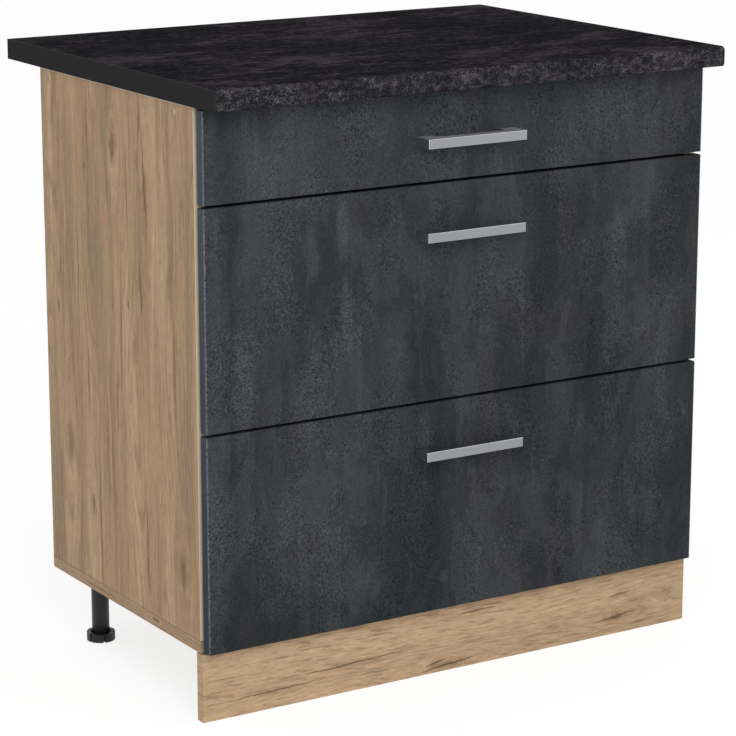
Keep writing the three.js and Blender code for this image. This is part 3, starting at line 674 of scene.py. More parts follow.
def makeWorktopLaminate(name, box):
    look = worktopLook
    material, coords, figure = newMaterial(name, look)
    clots, wisps = figure["clots"], figure["wisps"]
    axes = axesOf(coords)
    reach = between(figure["clouds"], 0.42, 0.60, 0.2, 1.0)
    # the rolled nose shows the decor coarser and greyer than the top does
    nose = between(axes["Y"], *(box[0].y + depth for depth in look["noseReach"]))
    zone = between(figure["fleckZone"], 0.40, 0.60, 0.35)
    flecks = scaled(clots - 0.5, 0.7, figure["flecks"])
    colour = painted(ramp(figure["clouds"], look), look, [
        (wisps, 0.51, 0.61, reach, "cloud"),
        (wisps, 0.47, 0.36, 0.6, "deep"),
        (clots, 0.50, 0.68, reach * 0.75, "cloud"),
        (flecks, 0.42, 0.74, zone * scaled(nose, 0.75, 0.25), "ash"),
        (flecks, 0.48, 0.30, 0.5, "deep"),
        (nose, 0.18, "nose")])
    below = calc("LESS_THAN", axes["Z"], box[0].z + look["backingDepth"])
    colour = mix(below, colour, mix(figure["paper"], look["backing"], look["backingDark"]))
    return closeMaterial(material, look, colour, flecks, flecks)


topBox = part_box("worktop")
laminate = makeWorktopLaminate("worktopLaminate", topBox)


# plastics, metals and hidden boards

def makePlastic(name, colour, roughness, specular=0.3, grain=0.06 * mm, mottle=0.08):
    # moulded plastic: near-flat colour with a fine erosion grain
    look = {"roughness": roughness, "specular": specular, "bump": (grain, 0.5), "gloss": (0.12, -0.06),
            "noise": {"spots": (1400, 2, 0.6), "cloud": (30, 2)}}
    material, _, figure = newMaterial(name, look)
    spots, cloud = figure["spots"], figure["cloud"]
    value = scaled(spots, mottle, 1 - mottle / 2) + scaled(cloud, mottle, -mottle / 2)
    return closeMaterial(material, look, shaded(colour, value), spots, cloud)


endStrip = makePlastic("worktopEndStrip", linear(42, 41, 42), 0.6, specular=0.01)
blackPlastic = makePlastic("blackPlastic", linear(30, 30, 31), 0.42, grain=0.04 * mm)
rollerPlastic = makePlastic("rollerPlastic", linear(232, 230, 222), 0.38, mottle=0.03)

capLook = {
    # wall is a painted highlight, paler than the top
    **shades(top=(176, 150, 120), wall=(206, 180, 142)),
    "noise": {"fibres": ((40, 500, 60), 3, 0.6)},
    "roughness": 0.45,
    "specular": 0.3,
}


def makeCapPlastic(name):
    # the stamped top matches the board; the wall is painted paler, a painted highlight
    look = capLook
    material, coords, figure = newMaterial(name, look)
    facing = calc("ABSOLUTE", facingOf(coords)["X"])
    printed = mix(figure["fibres"], look["top"], oakLook["vein"])
    # painted highlight: the wall gets the paler colour
    return closeMaterial(material, look, mix(between(facing, 0.85, 0.45), printed, look["wall"]))


oakCaps = makeCapPlastic("oakScrewCaps")

paintLook = {
    **shades(colour=(206, 208, 207)),
    "noise": {"peel": (700, 2, 0.5), "cloud": (9, 2)},
    "roughness": 0.38,
    "gloss": (0.16, -0.08),
    "specular": 0.5,
    "bump": (0.04 * mm, 0.6),
}


def makePaintedSteel(name):
    # powder coat on folded sheet: fine orange peel
    look = paintLook
    material, _, figure = newMaterial(name, look)
    colour = shaded(look["colour"], figure["cloud"], 0.06, 0.97)
    return closeMaterial(material, look, colour, figure["peel"], figure["peel"])


paintedSteel = makePaintedSteel("paintedSteel")

zincLook = {
    **shades(colour=(205, 207, 208)),
    "noise": {"spots": (1500, 3, 0.7)},
    "roughness": 0.32,
    "gloss": (0.25, -0.10),
    "metallic": 1.0,
}


def makeScrewSteel(name):
    look = zincLook
    material, _, figure = newMaterial(name, look)
    colour = shaded(look["colour"], figure["spots"], 0.3, 0.85)
    return closeMaterial(material, look, colour, gloss=figure["spots"])


screwSteel = makeScrewSteel("zincScrews")

handleLook = {
    # flank is a painted highlight, paler than the brushed face
    **shades(face=(146, 147, 149), flank=(212, 213, 214)),
    "rim": (-0.84, -0.985),  # how far a surface faces forwards, from the rim's painted highlight to the face
    "roughness": 0.32,
    "topRoughness": {"bottom": 0.16, "middle": 0.16, "top": 0.5},
    "gloss": (0.2, -0.1),
    "metallic": 1.0,
    "noise": {"brush": ((12, 900, 1600), 3, 0.7)},
    "bump": (0.02 * mm, 0.5),
}


def makeSatinMetal(name, topRoughness):
    # satin nickel: the face is brushed along the bar; its rounded rim and flanks are painted paler, a
    # painted highlight
    look = handleLook
    material, coords, figure = newMaterial(name, look)
    lines, facing = figure["brush"], facingOf(coords)
    # painted highlight: the paler colour goes wherever the surface turns away from the front
    colour = mix(between(facing["Y"], *look["rim"]), look["flank"], look["face"])
    offset = look["gloss"][1]
    even = between(facing["Z"], 0.35, 0.8, look["roughness"] + offset, topRoughness + offset)
    return closeMaterial(material, look, shaded(colour, lines, 0.16, 0.92), lines, lines, even)


satinMetal = {drawer: makeSatinMetal(f"satinNickel{drawer.title()}", topRoughness)
              for drawer, topRoughness in handleLook["topRoughness"].items()}

whiteLook = {
    **shades(dim=(226, 224, 218), bright=(234, 232, 227), cloudy=(220, 217, 210)),
    "noise": {"pearl": (420, 3, 0.6), "cloud": (12, 2)},
    "roughness": 0.5,
    "gloss": (0.2, -0.1),
    "specular": 0.4,
    "bump": (0.06 * mm, 0.5),
}


def makeWhiteBoard(name):
    # white melamine with a faint pearl texture
    look = whiteLook
    material, _, figure = newMaterial(name, look)
    pearl = figure["pearl"]
    colour = painted(mix(pearl, look["dim"], look["bright"]), look, [(figure["cloud"], 0.25, "cloudy")])
    return closeMaterial(material, look, colour, pearl, pearl)


whiteBoard = makeWhiteBoard("whiteMelamine")

hardboardLook = {
    **shades(dark=(104, 78, 50), brown=(134, 104, 71), tan=(156, 126, 90), fibre=(92, 68, 44),
             cloudy=(122, 92, 60)),
    "ramp": [(0.32, "dark"), (0.5, "brown"), (0.7, "tan")],
    "noise": {"tufts": (260, 5, 0.7, 0.8), "fibres": ((60, 60, 900), 3, 0.7, 1.2), "cloud": (4, 3)},
    "roughness": 0.6,
    "specular": 0.35,
    "bump": (0.12 * mm, 0.6),
}


def makeHardboard(name):
    # pressed fibre: brown, with darker tufts and a slightly waxed face
    look = hardboardLook
    material, _, figure = newMaterial(name, look)
    colour = painted(ramp(figure["tufts"], look), look, [
        (figure["fibres"], 0.58, 0.72, 0.4, "fibre"), (figure["cloud"], 0.3, "cloudy")])
    return closeMaterial(material, look, colour, figure["tufts"])


hardboard = makeHardboard("hardboard")
print("finishes ready")


# boards and sheet steel keep their shape and get their finish

def dress(material, *nodes):
    for node in nodes:
        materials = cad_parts[node].data.materials
        materials.clear()
        materials.append(material)


dress(oakLeft, "side_panel_left")
dress(oakRight, "side_panel_right")
dress(oakFloor, "bottom_panel")
dress(oakPlinth, "plinth")
dress(hardboard, "back_panel")
dress(oakRails, "top_rail_front", "top_rail_rear")
dress(blackPlastic, *(f"plinth_clip_{side}" for side in sides))
for drawer in drawers:
    dress(whiteBoard, f"drawer_base_{drawer}", f"drawer_back_{drawer}")
    for side in sides:
        dress(paintedSteel, f"drawer_side_{drawer}_{side}", f"cabinet_runner_{drawer}_{side}")
print("boards and runners dressed")


# worktop: rolled front edge, plain end strips

worktopShape = {**lengths(topRadius=7, bottomRadius=5, stripEdge=0.4), "arcSteps": 10}


def drawWorktop(name, box, material):
    low, high = box
    outline = roundedOutline([
        (low.y, low.z, worktopShape["bottomRadius"]), (high.y, low.z), (high.y, high.z),
        (low.y, high.z, worktopShape["topRadius"])], worktopShape["arcSteps"])
    return extrudeOutline(name, outline, 0, low.x, high.x, material)


def makeWorktop():
    slab = drawWorktop("worktop_slab", topBox, laminate)
    smoothByAngle(slab, 20)
    finishPiece(slab, "cabinet", "worktop_laminate", "worktop")
    for side in sides:
        strip = drawWorktop(f"end_strip_{side}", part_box(f"worktop_end_strip_{side}"), endStrip)
        softenEdges(strip, worktopShape["stripEdge"])
        finishPiece(strip, "cabinet", "end_strip", f"worktop_end_strip_{side}")


makeWorktop()
print("worktop made")


# drawer fronts and their bar pulls

frontShape = {**lengths(edge=1), "segments": 4}
pullShape = {**lengths(legWidth=24, barDepth=16, innerRadius=3, edge=0.8), "arcSteps": 8}


def makeFront(drawer):
    low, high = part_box(f"drawer_front_{drawer}")
    outline = [(low.x, low.z), (high.x, low.z), (high.x, high.z), (low.x, high.z)]
    front = extrudeOutline(f"front_{drawer}", outline, 1, low.y, high.y, slate)
    softenEdges(front, frontShape["edge"], frontShape["segments"])
    finishPiece(front, f"drawer_{drawer}", "slate_front", f"drawer_front_{drawer}")


def makePull(drawer):
    low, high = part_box(f"handle_{drawer}")
    gap = high.x - pullShape["legWidth"]
    barBack = low.y + pullShape["barDepth"]
    outline = roundedOutline([
        (low.x, low.y), (high.x, low.y), (high.x, high.y), (gap, high.y),
        (gap, barBack, pullShape["innerRadius"]), (-gap, barBack, pullShape["innerRadius"]),
        (-gap, high.y), (low.x, high.y)], pullShape["arcSteps"])
    pull = extrudeOutline(f"pull_{drawer}", outline, 2, low.z, high.z, satinMetal[drawer])
    softenEdges(pull, pullShape["edge"])
    finishPiece(pull, f"drawer_{drawer}", "satin_metal", f"handle_{drawer}")


for drawer in drawers:
    makeFront(drawer)
    makePull(drawer)
print("fronts and pulls made")


# feet: ribbed plate and tube, and a crown on a threaded spindle

footShape = {
    **lengths(tubeRadius=12.5, plateRadius=29, plate=4, collarWall=3, collarHeight=8, bore=8.3,
              boreDepth=56, edge=0.5, webHeight=7, webEnd=2, webThickness=2.4, webInset=3,
              webEdge=0.35),
    "segments": 48,
}
crownShape = {
    **lengths(radius=20.25, height=12, floor=3.5, wall=5.5, notchWidth=2.6, notchDepth=4.5, edge=0.9),
    "lobes": 6,
    "turn": 18 / 360,
    "steps": 8,
}
threadShape = {
    # sunk is how deep the ridge's middle lies in the core
    **lengths(root=7.1, crest=0.95, sunk=0.1, pitch=3.2, runIn=0.5, runOut=1.2, chamfer=1),
    "segments": 40,
    "sides": 6,
}


def cutFlat(piece, y):
    # takes away what lies in front of a plane across Y, and closes the cut
    shape = bmesh.new()
    shape.from_mesh(piece.data)
    bmesh.ops.bisect_plane(shape, geom=shape.verts[:] + shape.edges[:] + shape.faces[:],
                           plane_co=(0, y, 0), plane_no=(0, -1, 0), clear_outer=True)
    closeShape(shape, piece.data, True)


def joinMeshes(name, pieces):
    # several closed shells as one piece
    shape = bmesh.new()
    for piece in pieces:
        shape.from_mesh(piece.data)
    mesh = bpy.data.meshes.new(name)
    shape.to_mesh(mesh)
    shape.free()
    mesh.materials.append(pieces[0].data.materials[0])
    for piece in pieces:
        bpy.data.objects.remove(piece)
    return addObject(name, mesh)


def makeSocket(foot):
    low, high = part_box(f"foot_socket_{foot}")
    size = footShape
    tube, plate, edge = size["tubeRadius"], size["plateRadius"], size["edge"]
    x, y = (low.x + high.x) / 2, high.y - plate
    under = high.z - size["plate"]
    bore, boreTop = size["bore"], low.z + size["boreDepth"]
    profile = [(0, boreTop), (bore, boreTop), (bore, low.z + edge), (bore + edge, low.z),
               (tube - edge, low.z), (tube, low.z + edge), (tube, under - size["collarHeight"]),
               (tube + size["collarWall"] / 3, under - size["collarHeight"] / 3),
               (tube + size["collarWall"], under), (plate - edge, under), (plate, under + edge),
               (plate, high.z - edge), (plate - edge, high.z), (0, high.z)]
    parts = [latheProfile("socketBody", profile, size["segments"], blackPlastic,
                          Matrix.Translation((x, y, 0)))]
    reach = plate - size["webInset"]
    webEnd, webFoot = under - size["webEnd"], under - size["webHeight"]
    web = [(-reach, under + edge), (-reach, webEnd), (-tube + edge, webFoot),
           (tube - edge, webFoot), (reach, webEnd), (reach, under + edge)]
    half = size["webThickness"] / 2
    for axis in (1, 0):
        rib = extrudeOutline(f"web{axis}", web, axis, -half, half, blackPlastic, x, y)
        softenEdges(rib, size["webEdge"], 2)
        parts.append(rib)
    for moulded in parts:
        cutFlat(moulded, low.y)
    socket = joinMeshes(f"socket_{foot}", parts)
    smoothByAngle(socket)
    finishPiece(socket, "cabinet", "black_plastic", f"foot_socket_{foot}")


def crownRim():
    # one turn of the castellated outline: lobes with parallel-sided notches between them
    size = crownShape
    radius = size["radius"]
    bottom = radius - size["notchDepth"]
    pitch = 1 / size["lobes"]
    outer, inner = (math.asin(size["notchWidth"] / 2 / r) / math.tau for r in (radius, bottom))
    points = []
    for lobe in range(size["lobes"]):
        start = size["turn"] + lobe * pitch
        for step in range(size["steps"] + 1):
            points.append(onCircle(start + outer + (pitch - 2 * outer) * step / size["steps"], radius))
        points += [onCircle(start + pitch - inner, bottom), onCircle(start + pitch + inner, bottom)]
    return points


def makeCup(x, y, bottom):
    size = crownShape
    rim = crownRim()
    count = len(rim)
    well = [p.normalized() * (size["radius"] - size["wall"]) for p in rim]
    rings = [(rim, 0.0), (rim, size["height"]), (well, size["height"]), (well, size["floor"])]
    vertices = [(x + p.x, y + p.y, bottom + height) for ring, height in rings for p in ring]
    faces = [*wallFaces(count, 4), tuple(range(count)), tuple(range(3 * count, 4 * count))]
    cup = addMeshPiece("crownCup", vertices, faces, blackPlastic)
    softenEdges(cup, size["edge"])
    return cup


def makeCrown(foot):
    low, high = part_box(f"adjusting_foot_{foot}")
    x, y = (low.x + high.x) / 2, (low.y + high.y) / 2
    size = threadShape
    root, chamfer = size["root"], size["chamfer"]
    floor = crownShape["floor"]
    start = low.z + floor / 2
    core = [(0, start), (root, start), (root, high.z - chamfer), (root - chamfer, high.z), (0, high.z)]
    spindle = latheProfile("spindleCore", core, size["segments"], blackPlastic,
                           Matrix.Translation((x, y, 0)))
    thread = makeThread(x, y, low.z + floor + size["runIn"], high.z - size["runOut"])
    piece = joinMeshes(f"crown_foot_{foot}", [makeCup(x, y, low.z), spindle, thread])
    smoothByAngle(piece)
    finishPiece(piece, f"adjusting_foot_{foot}", "black_plastic", f"adjusting_foot_{foot}")


def closeTree(tree, geometry, finish):
    # instances become one mesh in its finish
    real = addNode("GeometryNodeRealizeInstances", {"Geometry": geometry})
    dressed = addNode("GeometryNodeSetMaterial", {"Geometry": real, "Material": finish})
    newNode(tree, "NodeGroupOutput", {"Geometry": dressed})
    return tree


def makeThreadTree():
    # a ridge swept along a helix
    labels = ("Geometry", "Radius", "Height", "Turns", "Ridge", "Finish")
    tree, given = newGroup("spindleThread", labels, ("Geometry",), "GeometryNodeTree")
    helix = addNode("GeometryNodeCurveSpiral", {
        "Resolution": threadShape["segments"], "Rotations": given["Turns"],
        "Start Radius": given["Radius"], "End Radius": given["Radius"], "Height": given["Height"]})
    ridge = addNode("GeometryNodeCurvePrimitiveCircle",
                    {"Resolution": threadShape["sides"], "Radius": given["Ridge"]})
    swept = addNode("GeometryNodeCurveToMesh",
                    {"Curve": helix, "Profile Curve": ridge, "Fill Caps": True})
    return closeTree(tree, swept, given["Finish"])


threadTree = makeThreadTree()


def growTree(name, tree, values, source=None):
    # runs a geometry tree on a source mesh and keeps the result as a plain mesh
    piece = addObject(name, source or bpy.data.meshes.new(name))
    modifier = piece.modifiers.new(tree.name, "NODES")
    modifier.node_group = tree
    for item in tree.interface.items_tree:
        if item.in_out == "INPUT" and item.name in values:
            modifier[item.identifier] = values[item.name]
    bakeModifiers(piece)
    return piece


def makeThread(x, y, bottom, top):
    size = threadShape
    length = top - bottom
    thread = growTree("threadRidge", threadTree, {
        "Radius": size["root"] - size["sunk"], "Height": length, "Turns": length / size["pitch"],
        "Ridge": size["crest"], "Finish": blackPlastic})
    thread.data.transform(Matrix.Translation((x, y, bottom)))
    return thread


for foot in feet:
    makeSocket(foot)
    makeCrown(foot)
print("feet made")


# rollers

rollerShape = {
    # a moulded line on the plain face; a dish with a hub round the axle's head on the other
    **lengths(bore=3, chamfer=0.7, lineInset=2.6, lineHalf=0.4, lineDepth=0.25, rim=2.4,
              dishSlope=0.5, dish=0.9, hubFoot=1, hubTop=0.7, hubInset=0.15, recess=5.1,
              recessDepth=1.3),
    "worn": 0.3,  # of the chamfer, where it is rounded
    "segments": 48,
}


def makeRoller(node, outward):
    # a wheel with a dished face towards the axle's head, on the side given by outward
    low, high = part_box(node)
    size = rollerShape
    radius = (high.z - low.z) / 2
    width = high.x - low.x
    bore, recess, chamfer = size["bore"], size["recess"], size["chamfer"]
    worn = chamfer * size["worn"]
    line, half = radius - size["lineInset"], size["lineHalf"]
    dished = width - size["dish"]
    hub = width - size["hubInset"]
    seat = width - size["recessDepth"]
    profile = [(bore, 0), (line - half, 0), (line, size["lineDepth"]), (line + half, 0),
               (radius - chamfer, 0), (radius - worn, worn), (radius, chamfer),
               (radius, width - chamfer), (radius - worn, width - worn), (radius - chamfer, width),
               (radius - size["rim"], width), (radius - size["rim"] - size["dishSlope"], dished),
               (recess + size["hubFoot"], dished), (recess + size["hubTop"], hub), (recess, hub),
               (recess, seat), (bore, seat), (bore, 0)]
    _, y, z = (low + high) / 2
    start = Matrix.Translation((low.x if outward > 0 else high.x, y, z))
    turn = Matrix.Rotation(math.pi / 2 * outward, 4, "Y")
    wheel = latheProfile(node.replace("roller", "wheel"), profile, size["segments"], rollerPlastic,
                         start @ turn)
    smoothByAngle(wheel, 30)
    finishPiece(wheel, node, "white_plastic", node)


for drawer in drawers:
    for side, sign in sides.items():
        makeRoller(f"cabinet_roller_{drawer}_{side}", -sign)
        makeRoller(f"drawer_roller_{drawer}_{side}", sign)
print("rollers made")


# screws, caps and nails

screwShape = {
    **lengths(headRadius=3.7, headHeight=1.5, flatHeadRadius=4.1, flatHeadHeight=0.45, sunk=0.3,
              slotReach=2.1, slotWidth=0.85, slotDepth=1.2),
    "rounding": (0.4, 0.8),  # at most, of the radius and of the height
    "slotTaper": 0.72,
    "arcSteps": 4,
    "segments": 28,
    "seed": 7,
}
capShape = {
    **lengths(radius=5.6, height=1.7, sunk=0.1),
    "rim": [(0, 0.5), (0.15, 0.15), (0.5, 0)],  # inwards and down from the top's edge, in mm
    "segments": 32,
    "seed": 3,
}
nailShape = {
    **lengths(radius=1.6, height=0.35, sunk=0.1, inset=9, spacing=98, stray=1.5),
    "rim": [(0, 0.14), (0.32, 0)],
    "segments": 16,
    "seed": 5,
}


def crossOutline(reach, width):
    # a plus with arms of the given reach and width
    points = []
    for quarter in range(4):
        turn = Matrix.Rotation(quarter * math.pi / 2, 2)
        for x, y in ((reach, -width / 2), (reach, width / 2), (width / 2, width / 2)):
            points.append(turn @ Vector((x, y)))
    return points


def makeScrewHead(name, radius, height, recess):
    # a low domed head with a cross-shaped recess; it stands on the plane z = 0
    size = screwShape
    ofRadius, ofHeight = size["rounding"]
    rounding = min(ofRadius * radius, ofHeight * height)
    rings = [(radius, -size["sunk"]), (radius, height - rounding)]
    for step in range(1, size["arcSteps"] + 1):
        angle = step * math.pi / 2 / size["arcSteps"]
        rings.append((radius - rounding * (1 - math.cos(angle)),
                      height - rounding * (1 - math.sin(angle))))
    count = size["segments"]
    vertices = [onCircle(i / count, r, z) for r, z in rings for i in range(count)]
    crossStart = len(vertices)
    cross = crossOutline(size["slotReach"], size["slotWidth"])
    vertices += [(x, y, height) for x, y in cross]
    floorStart = len(vertices)
    vertices += [(x * size["slotTaper"], y * size["slotTaper"], height - recess) for x, y in cross]
    faces = [*wallFaces(count, len(rings)), *wallFaces(len(cross), 2, crossStart),
             tuple(range(count)), tuple(range(floorStart, len(vertices)))]
    head = addMeshPiece(name, vertices, faces, screwSteel, True)
    smoothByAngle(head, 40)
    return head


def makeDisc(name, shape):
    radius, height = shape["radius"], shape["height"]
    rim = [(radius - inwards * mm, height - down * mm) for inwards, down in shape["rim"]]
    profile = [(0, -shape["sunk"]), (radius, -shape["sunk"]), *rim, (0, height)]
    disc = latheProfile(name, profile, shape["segments"], screwSteel)
    smoothByAngle(disc, 50)
    return disc


def pickHead(given):
    return addNode("GeometryNodeObjectInfo", {"Object": given["Head"], "As Instance": True}, "Geometry",
                   transform_space="ORIGINAL")


def makeFastenerTree():
    # a head on each point, turned to the point's "facing" and spun at random round its axis
    labels = ("Geometry", "Head", "Finish", "Spin", "Seed")
    tree, given = newGroup("setFasteners", labels, ("Geometry",), "GeometryNodeTree")
    facing = fieldsOf(newNode(tree, "GeometryNodeInputNamedAttribute", {"Name": "facing"},
                              data_type="FLOAT_VECTOR"))["Attribute"]
    aligned = addNode("FunctionNodeAlignRotationToVector", {"Vector": facing}, axis="Z")
    chance = addNode("FunctionNodeRandomValue", {"Seed": given["Seed"], 3: given["Spin"]}, 1,
                     data_type="FLOAT")
    spin = addNode("FunctionNodeAxisAngleToRotation", {"Axis": (0, 0, 1), "Angle": chance})
    turned = addNode("FunctionNodeRotateRotation", {"Rotation": aligned, "Rotate By": spin},
                     rotation_space="LOCAL")
    heads = addNode("GeometryNodeInstanceOnPoints", {
        "Points": given["Geometry"], "Instance": pickHead(given), "Rotation": turned})
    return closeTree(tree, heads, given["Finish"])


def makeNailTree():
    # nails at even steps round a rectangle, each a little astray
    labels = ("Geometry", "Head", "Finish", "Width", "Height", "Spacing", "Stray", "Seed")
    tree, given = newGroup("nailRun", labels, ("Geometry",), "GeometryNodeTree")
    run = addNode("GeometryNodeCurvePrimitiveQuadrilateral",
                  {"Width": given["Width"], "Height": given["Height"]})
    steps = addNode("GeometryNodeResampleCurve", {"Curve": run, "Length": given["Spacing"]},
                    mode="LENGTH")
    points = addNode("GeometryNodeCurveToPoints", {"Curve": steps}, mode="EVALUATED")
    stray, back = given["Stray"], given["Stray"] * -1
    chance = addNode("FunctionNodeRandomValue",
                     {0: joined(back, back), 1: joined(stray, stray), "Seed": given["Seed"]},
                     data_type="FLOAT_VECTOR")
    strayed = addNode("GeometryNodeSetPosition", {"Geometry": points, "Offset": chance})
    heads = addNode("GeometryNodeInstanceOnPoints", {"Points": strayed, "Instance": pickHead(given)})
    return closeTree(tree, heads, given["Finish"])


fastenerTree = makeFastenerTree()
nailTree = makeNailTree()
panHead = makeScrewHead("panHead", screwShape["headRadius"], screwShape["headHeight"],
                        screwShape["slotDepth"])
flatHead = makeScrewHead("flatHead", screwShape["flatHeadRadius"], screwShape["flatHeadHeight"],
                         screwShape["slotDepth"] / 2)
capHead = makeDisc("capHead", capShape)
nailHead = makeDisc("nailHead", nailShape)


def placePoints(name, points):
    # points are (place, facing), in metres
    mesh = bpy.data.meshes.new(name)
    mesh.from_pydata([place for place, _ in points], [], [])
    facing = mesh.attributes.new("facing", "FLOAT_VECTOR", "POINT")
    for item, (_, direction) in zip(facing.data, points):
        item.vector = direction
    return mesh


def setFasteners(name, body, points, head=panHead, finish=screwSteel, slot="pale_steel",
                 spin=2 * math.pi, seed=screwShape["seed"]):
    piece = growTree(name, fastenerTree, {"Head": head, "Finish": finish, "Spin": spin, "Seed": seed},
                     placePoints(name, points))
    finishPiece(piece, body, slot)


def runnerFloor(drawer):
    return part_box(f"cabinet_runner_{drawer}_left")[0].z


# where the screws sit; runner, base and back heights are over the runner's underside
fastenerPlaces = {
    **lengths(capHeight=807.5, runnerX=382.8, runnerHeight=14.3, plateReach=15.56, clipReach=15,
              clipDepth=4, clipHeight=50, baseX=360.5, baseHeight=2, backX=353.5, backDepth=157.2,
              backHeight=41, backDrop=30, pullReach=64),
    # along Y, in metres
    "capDepths": (-0.188, 0.174),
    "runnerDepths": (-0.203, -0.075, 0.053),
    "baseDepths": (-0.204, -0.044, 0.116),
}


def fastenPanels():
    spots = fastenerPlaces
    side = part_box("side_panel_left")[0].x
    caps = [((sign * -side, y, spots["capHeight"]), (sign, 0, 0)) for sign in sides.values()
            for y in spots["capDepths"]]
    setFasteners("screw_caps", "cabinet", caps, capHead, oakCaps, "oak_board", 0.0, capShape["seed"])
    inRunners = [((sign * spots["runnerX"], y, runnerFloor(drawer) + spots["runnerHeight"]),
                  (-sign, 0, 0))
                 for drawer in drawers for sign in sides.values() for y in spots["runnerDepths"]]
    setFasteners("runner_screws", "cabinet", inRunners, flatHead)


def fastenFeet():
    spots = fastenerPlaces
    reach = spots["plateReach"]
    points = []
    for foot in feet:
        low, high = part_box(f"foot_socket_{foot}")
        x, y = (low.x + high.x) / 2, high.y - footShape["plateRadius"]
        for dx, dy in fourWays:
            place = (x + dx * reach, y + dy * reach, high.z - footShape["plate"])
            points.append((place, (0, 0, -1)))
    for side in sides:
        low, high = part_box(f"plinth_clip_{side}")
        for end in (-1, 1):
            x = (low.x + high.x) / 2 + end * spots["clipReach"]
            points.append(((x, low.y + spots["clipDepth"], spots["clipHeight"]), (0, 1, 0)))
    setFasteners("foot_and_clip_screws", "cabinet", points)


def nailBack():
    low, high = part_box("back_panel")
    size = nailShape
    nails = growTree("back_nails", nailTree, {
        "Head": nailHead, "Finish": screwSteel, "Width": high.x - low.x - 2 * size["inset"],
        "Height": high.z - low.z - 2 * size["inset"], "Spacing": size["spacing"],
        "Stray": size["stray"], "Seed": size["seed"]})
    nails.data.transform(Matrix.Translation(((low.x + high.x) / 2, high.y, (low.z + high.z) / 2))
                         @ Matrix.Rotation(-math.pi / 2, 4, "X"))
    finishPiece(nails, "cabinet", "pale_steel")


def fastenDrawer(drawer):
    spots = fastenerPlaces
    floor = runnerFloor(drawer)
    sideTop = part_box(f"drawer_side_{drawer}_left")[1].z
    backHeights = (floor + spots["backHeight"], sideTop - spots["backDrop"])
    points = []
    for sign in sides.values():
        for y in spots["baseDepths"]:
            points.append(((sign * spots["baseX"], y, floor + spots["baseHeight"]), (0, 0, -1)))
        for z in backHeights:
            points.append(((sign * spots["backX"], spots["backDepth"], z), (0, 1, 0)))
    low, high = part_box(f"handle_{drawer}")
    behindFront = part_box(f"drawer_front_{drawer}")[1].y
    for end in (-1, 1):
        points.append(((end * spots["pullReach"], behindFront, (low.z + high.z) / 2), (0, 1, 0)))
    setFasteners(f"drawer_screws_{drawer}", f"drawer_{drawer}", points)


fastenPanels()
fastenFeet()
nailBack()
for drawer in drawers:
    fastenDrawer(drawer)
for head in (panHead, flatHead, capHead, nailHead):
    bpy.data.objects.remove(head)
print("fasteners set")


# camera, light, floor

cameraSet = {
    "lens": 136.96,
    "azimuth": -32.010,
    "elevation": 13.888,
    "distance": 4.0048,
    "aim": (0.0, -0.0146, 0.3834),
    "farthest": 200,
}


def aimAlong(item, direction):
    item.rotation_mode = "QUATERNION"
    item.rotation_quaternion = direction.to_track_quat("-Z", "Y")


def addCamera():
    camera = addObject("camera", bpy.data.cameras.new("camera"))
    turn, rise = math.radians(cameraSet["azimuth"]), math.radians(cameraSet["elevation"])
    back = Vector((math.sin(turn) * math.cos(rise), -math.cos(turn) * math.cos(rise),
                   math.sin(rise)))
    camera.data.lens = cameraSet["lens"]
    camera.data.clip_end = cameraSet["farthest"]
    camera.location = Vector(cameraSet["aim"]) + back * cameraSet["distance"]
    aimAlong(camera, -back)
    bpy.context.scene.camera = camera


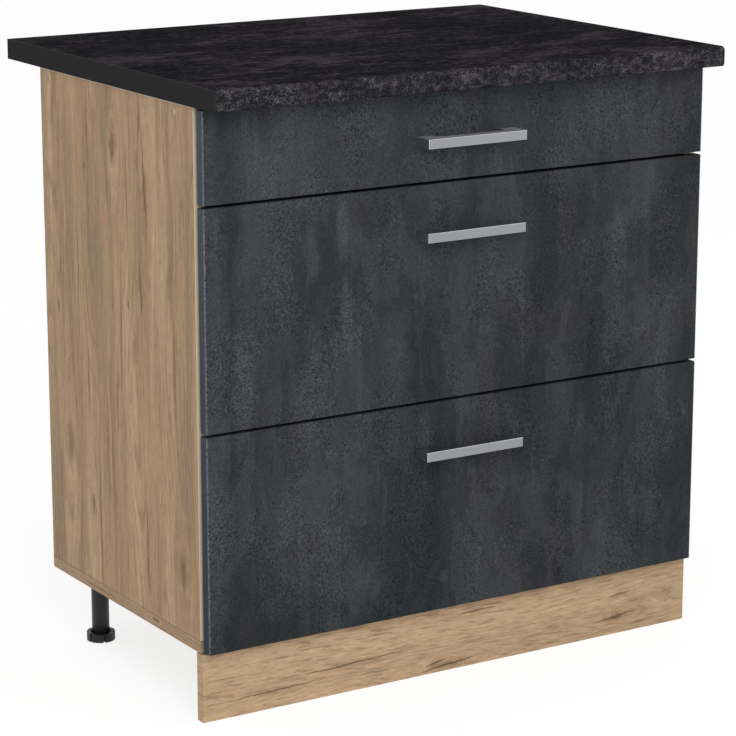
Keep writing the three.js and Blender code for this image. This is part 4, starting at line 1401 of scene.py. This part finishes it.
lightSet = {
    "sky": 0.72,
    # (name, place, aim, size, watts)
    "panels": [
        ("keyPanel", (-1.6, -3.2, 2.6), (0, 0, 0.4), 2.4, 70),
        ("fillPanel", (2.8, -2.6, 1.6), (0, 0, 0.4), 2.2, 24),
    ],
}
floorLook = {
    "half": 30,
    "share": 0.28,           # of the floor's own shading that the camera sees
    "glow": 1.10,
    "colour": (0.93, 0.93, 0.93, 1),
    "mottle": (2, 2),
    "swing": (0.01, 0.995),
}
white = (1, 1, 1, 1)


def addLights():
    for name, place, aim, size, watts in lightSet["panels"]:
        data = bpy.data.lights.new(name, "AREA")
        data.shape = "SQUARE"
        data.size = size
        data.energy = watts
        lamp = addObject(name, data)
        lamp.location = place
        aimAlong(lamp, Vector(aim) - Vector(place))


def seenDirectly(tree):
    # 1 for rays that show the surroundings: to the camera, in gloss and through glass
    path = fieldsOf(newNode(tree, "ShaderNodeLightPath"))
    shown = calc("MAXIMUM", path["Is Camera Ray"], path["Is Glossy Ray"])
    return calc("MAXIMUM", shown, path["Is Transmission Ray"])


def addWorld():
    world = bpy.data.worlds.new("studio")
    bpy.context.scene.world = world
    world.use_nodes = True
    tree = world.node_tree
    background = tree.nodes["Background"].inputs
    background["Color"].default_value = white
    strength = between(seenDirectly(tree), 0, 1, lightSet["sky"], 1.0)
    tree.links.new(strength.output, background["Strength"])


def addFloor():
    half = floorLook["half"]
    material = bpy.data.materials.new("paleFloor")
    floor = addMeshPiece("floor", [(x * half, y * half, 0) for x, y in fourWays], [(0, 1, 2, 3)],
                         material)
    material.use_nodes = True
    tree = material.node_tree
    tree.nodes.clear()
    coords = fieldsOf(newNode(tree, "ShaderNodeTexCoord"))["Object"]
    colour = shaded(floorLook["colour"], noise(coords, *floorLook["mottle"]), *floorLook["swing"])
    matt = addNode("ShaderNodeBsdfDiffuse", {"Color": colour})
    glow = fieldsOf(newNode(tree, "ShaderNodeEmission",
                            {"Color": white, "Strength": floorLook["glow"]}))
    share = between(seenDirectly(tree), 0, 1, 0.0, 1 - floorLook["share"])
    mixed = addNode("ShaderNodeMixShader", {0: share, 1: matt, 2: glow["Emission"]})
    newNode(tree, "ShaderNodeOutputMaterial", {"Surface": mixed})


addCamera()
addLights()
addWorld()
addFloor()
bpy.context.scene.view_settings.view_transform = "Standard"
print("studio ready")
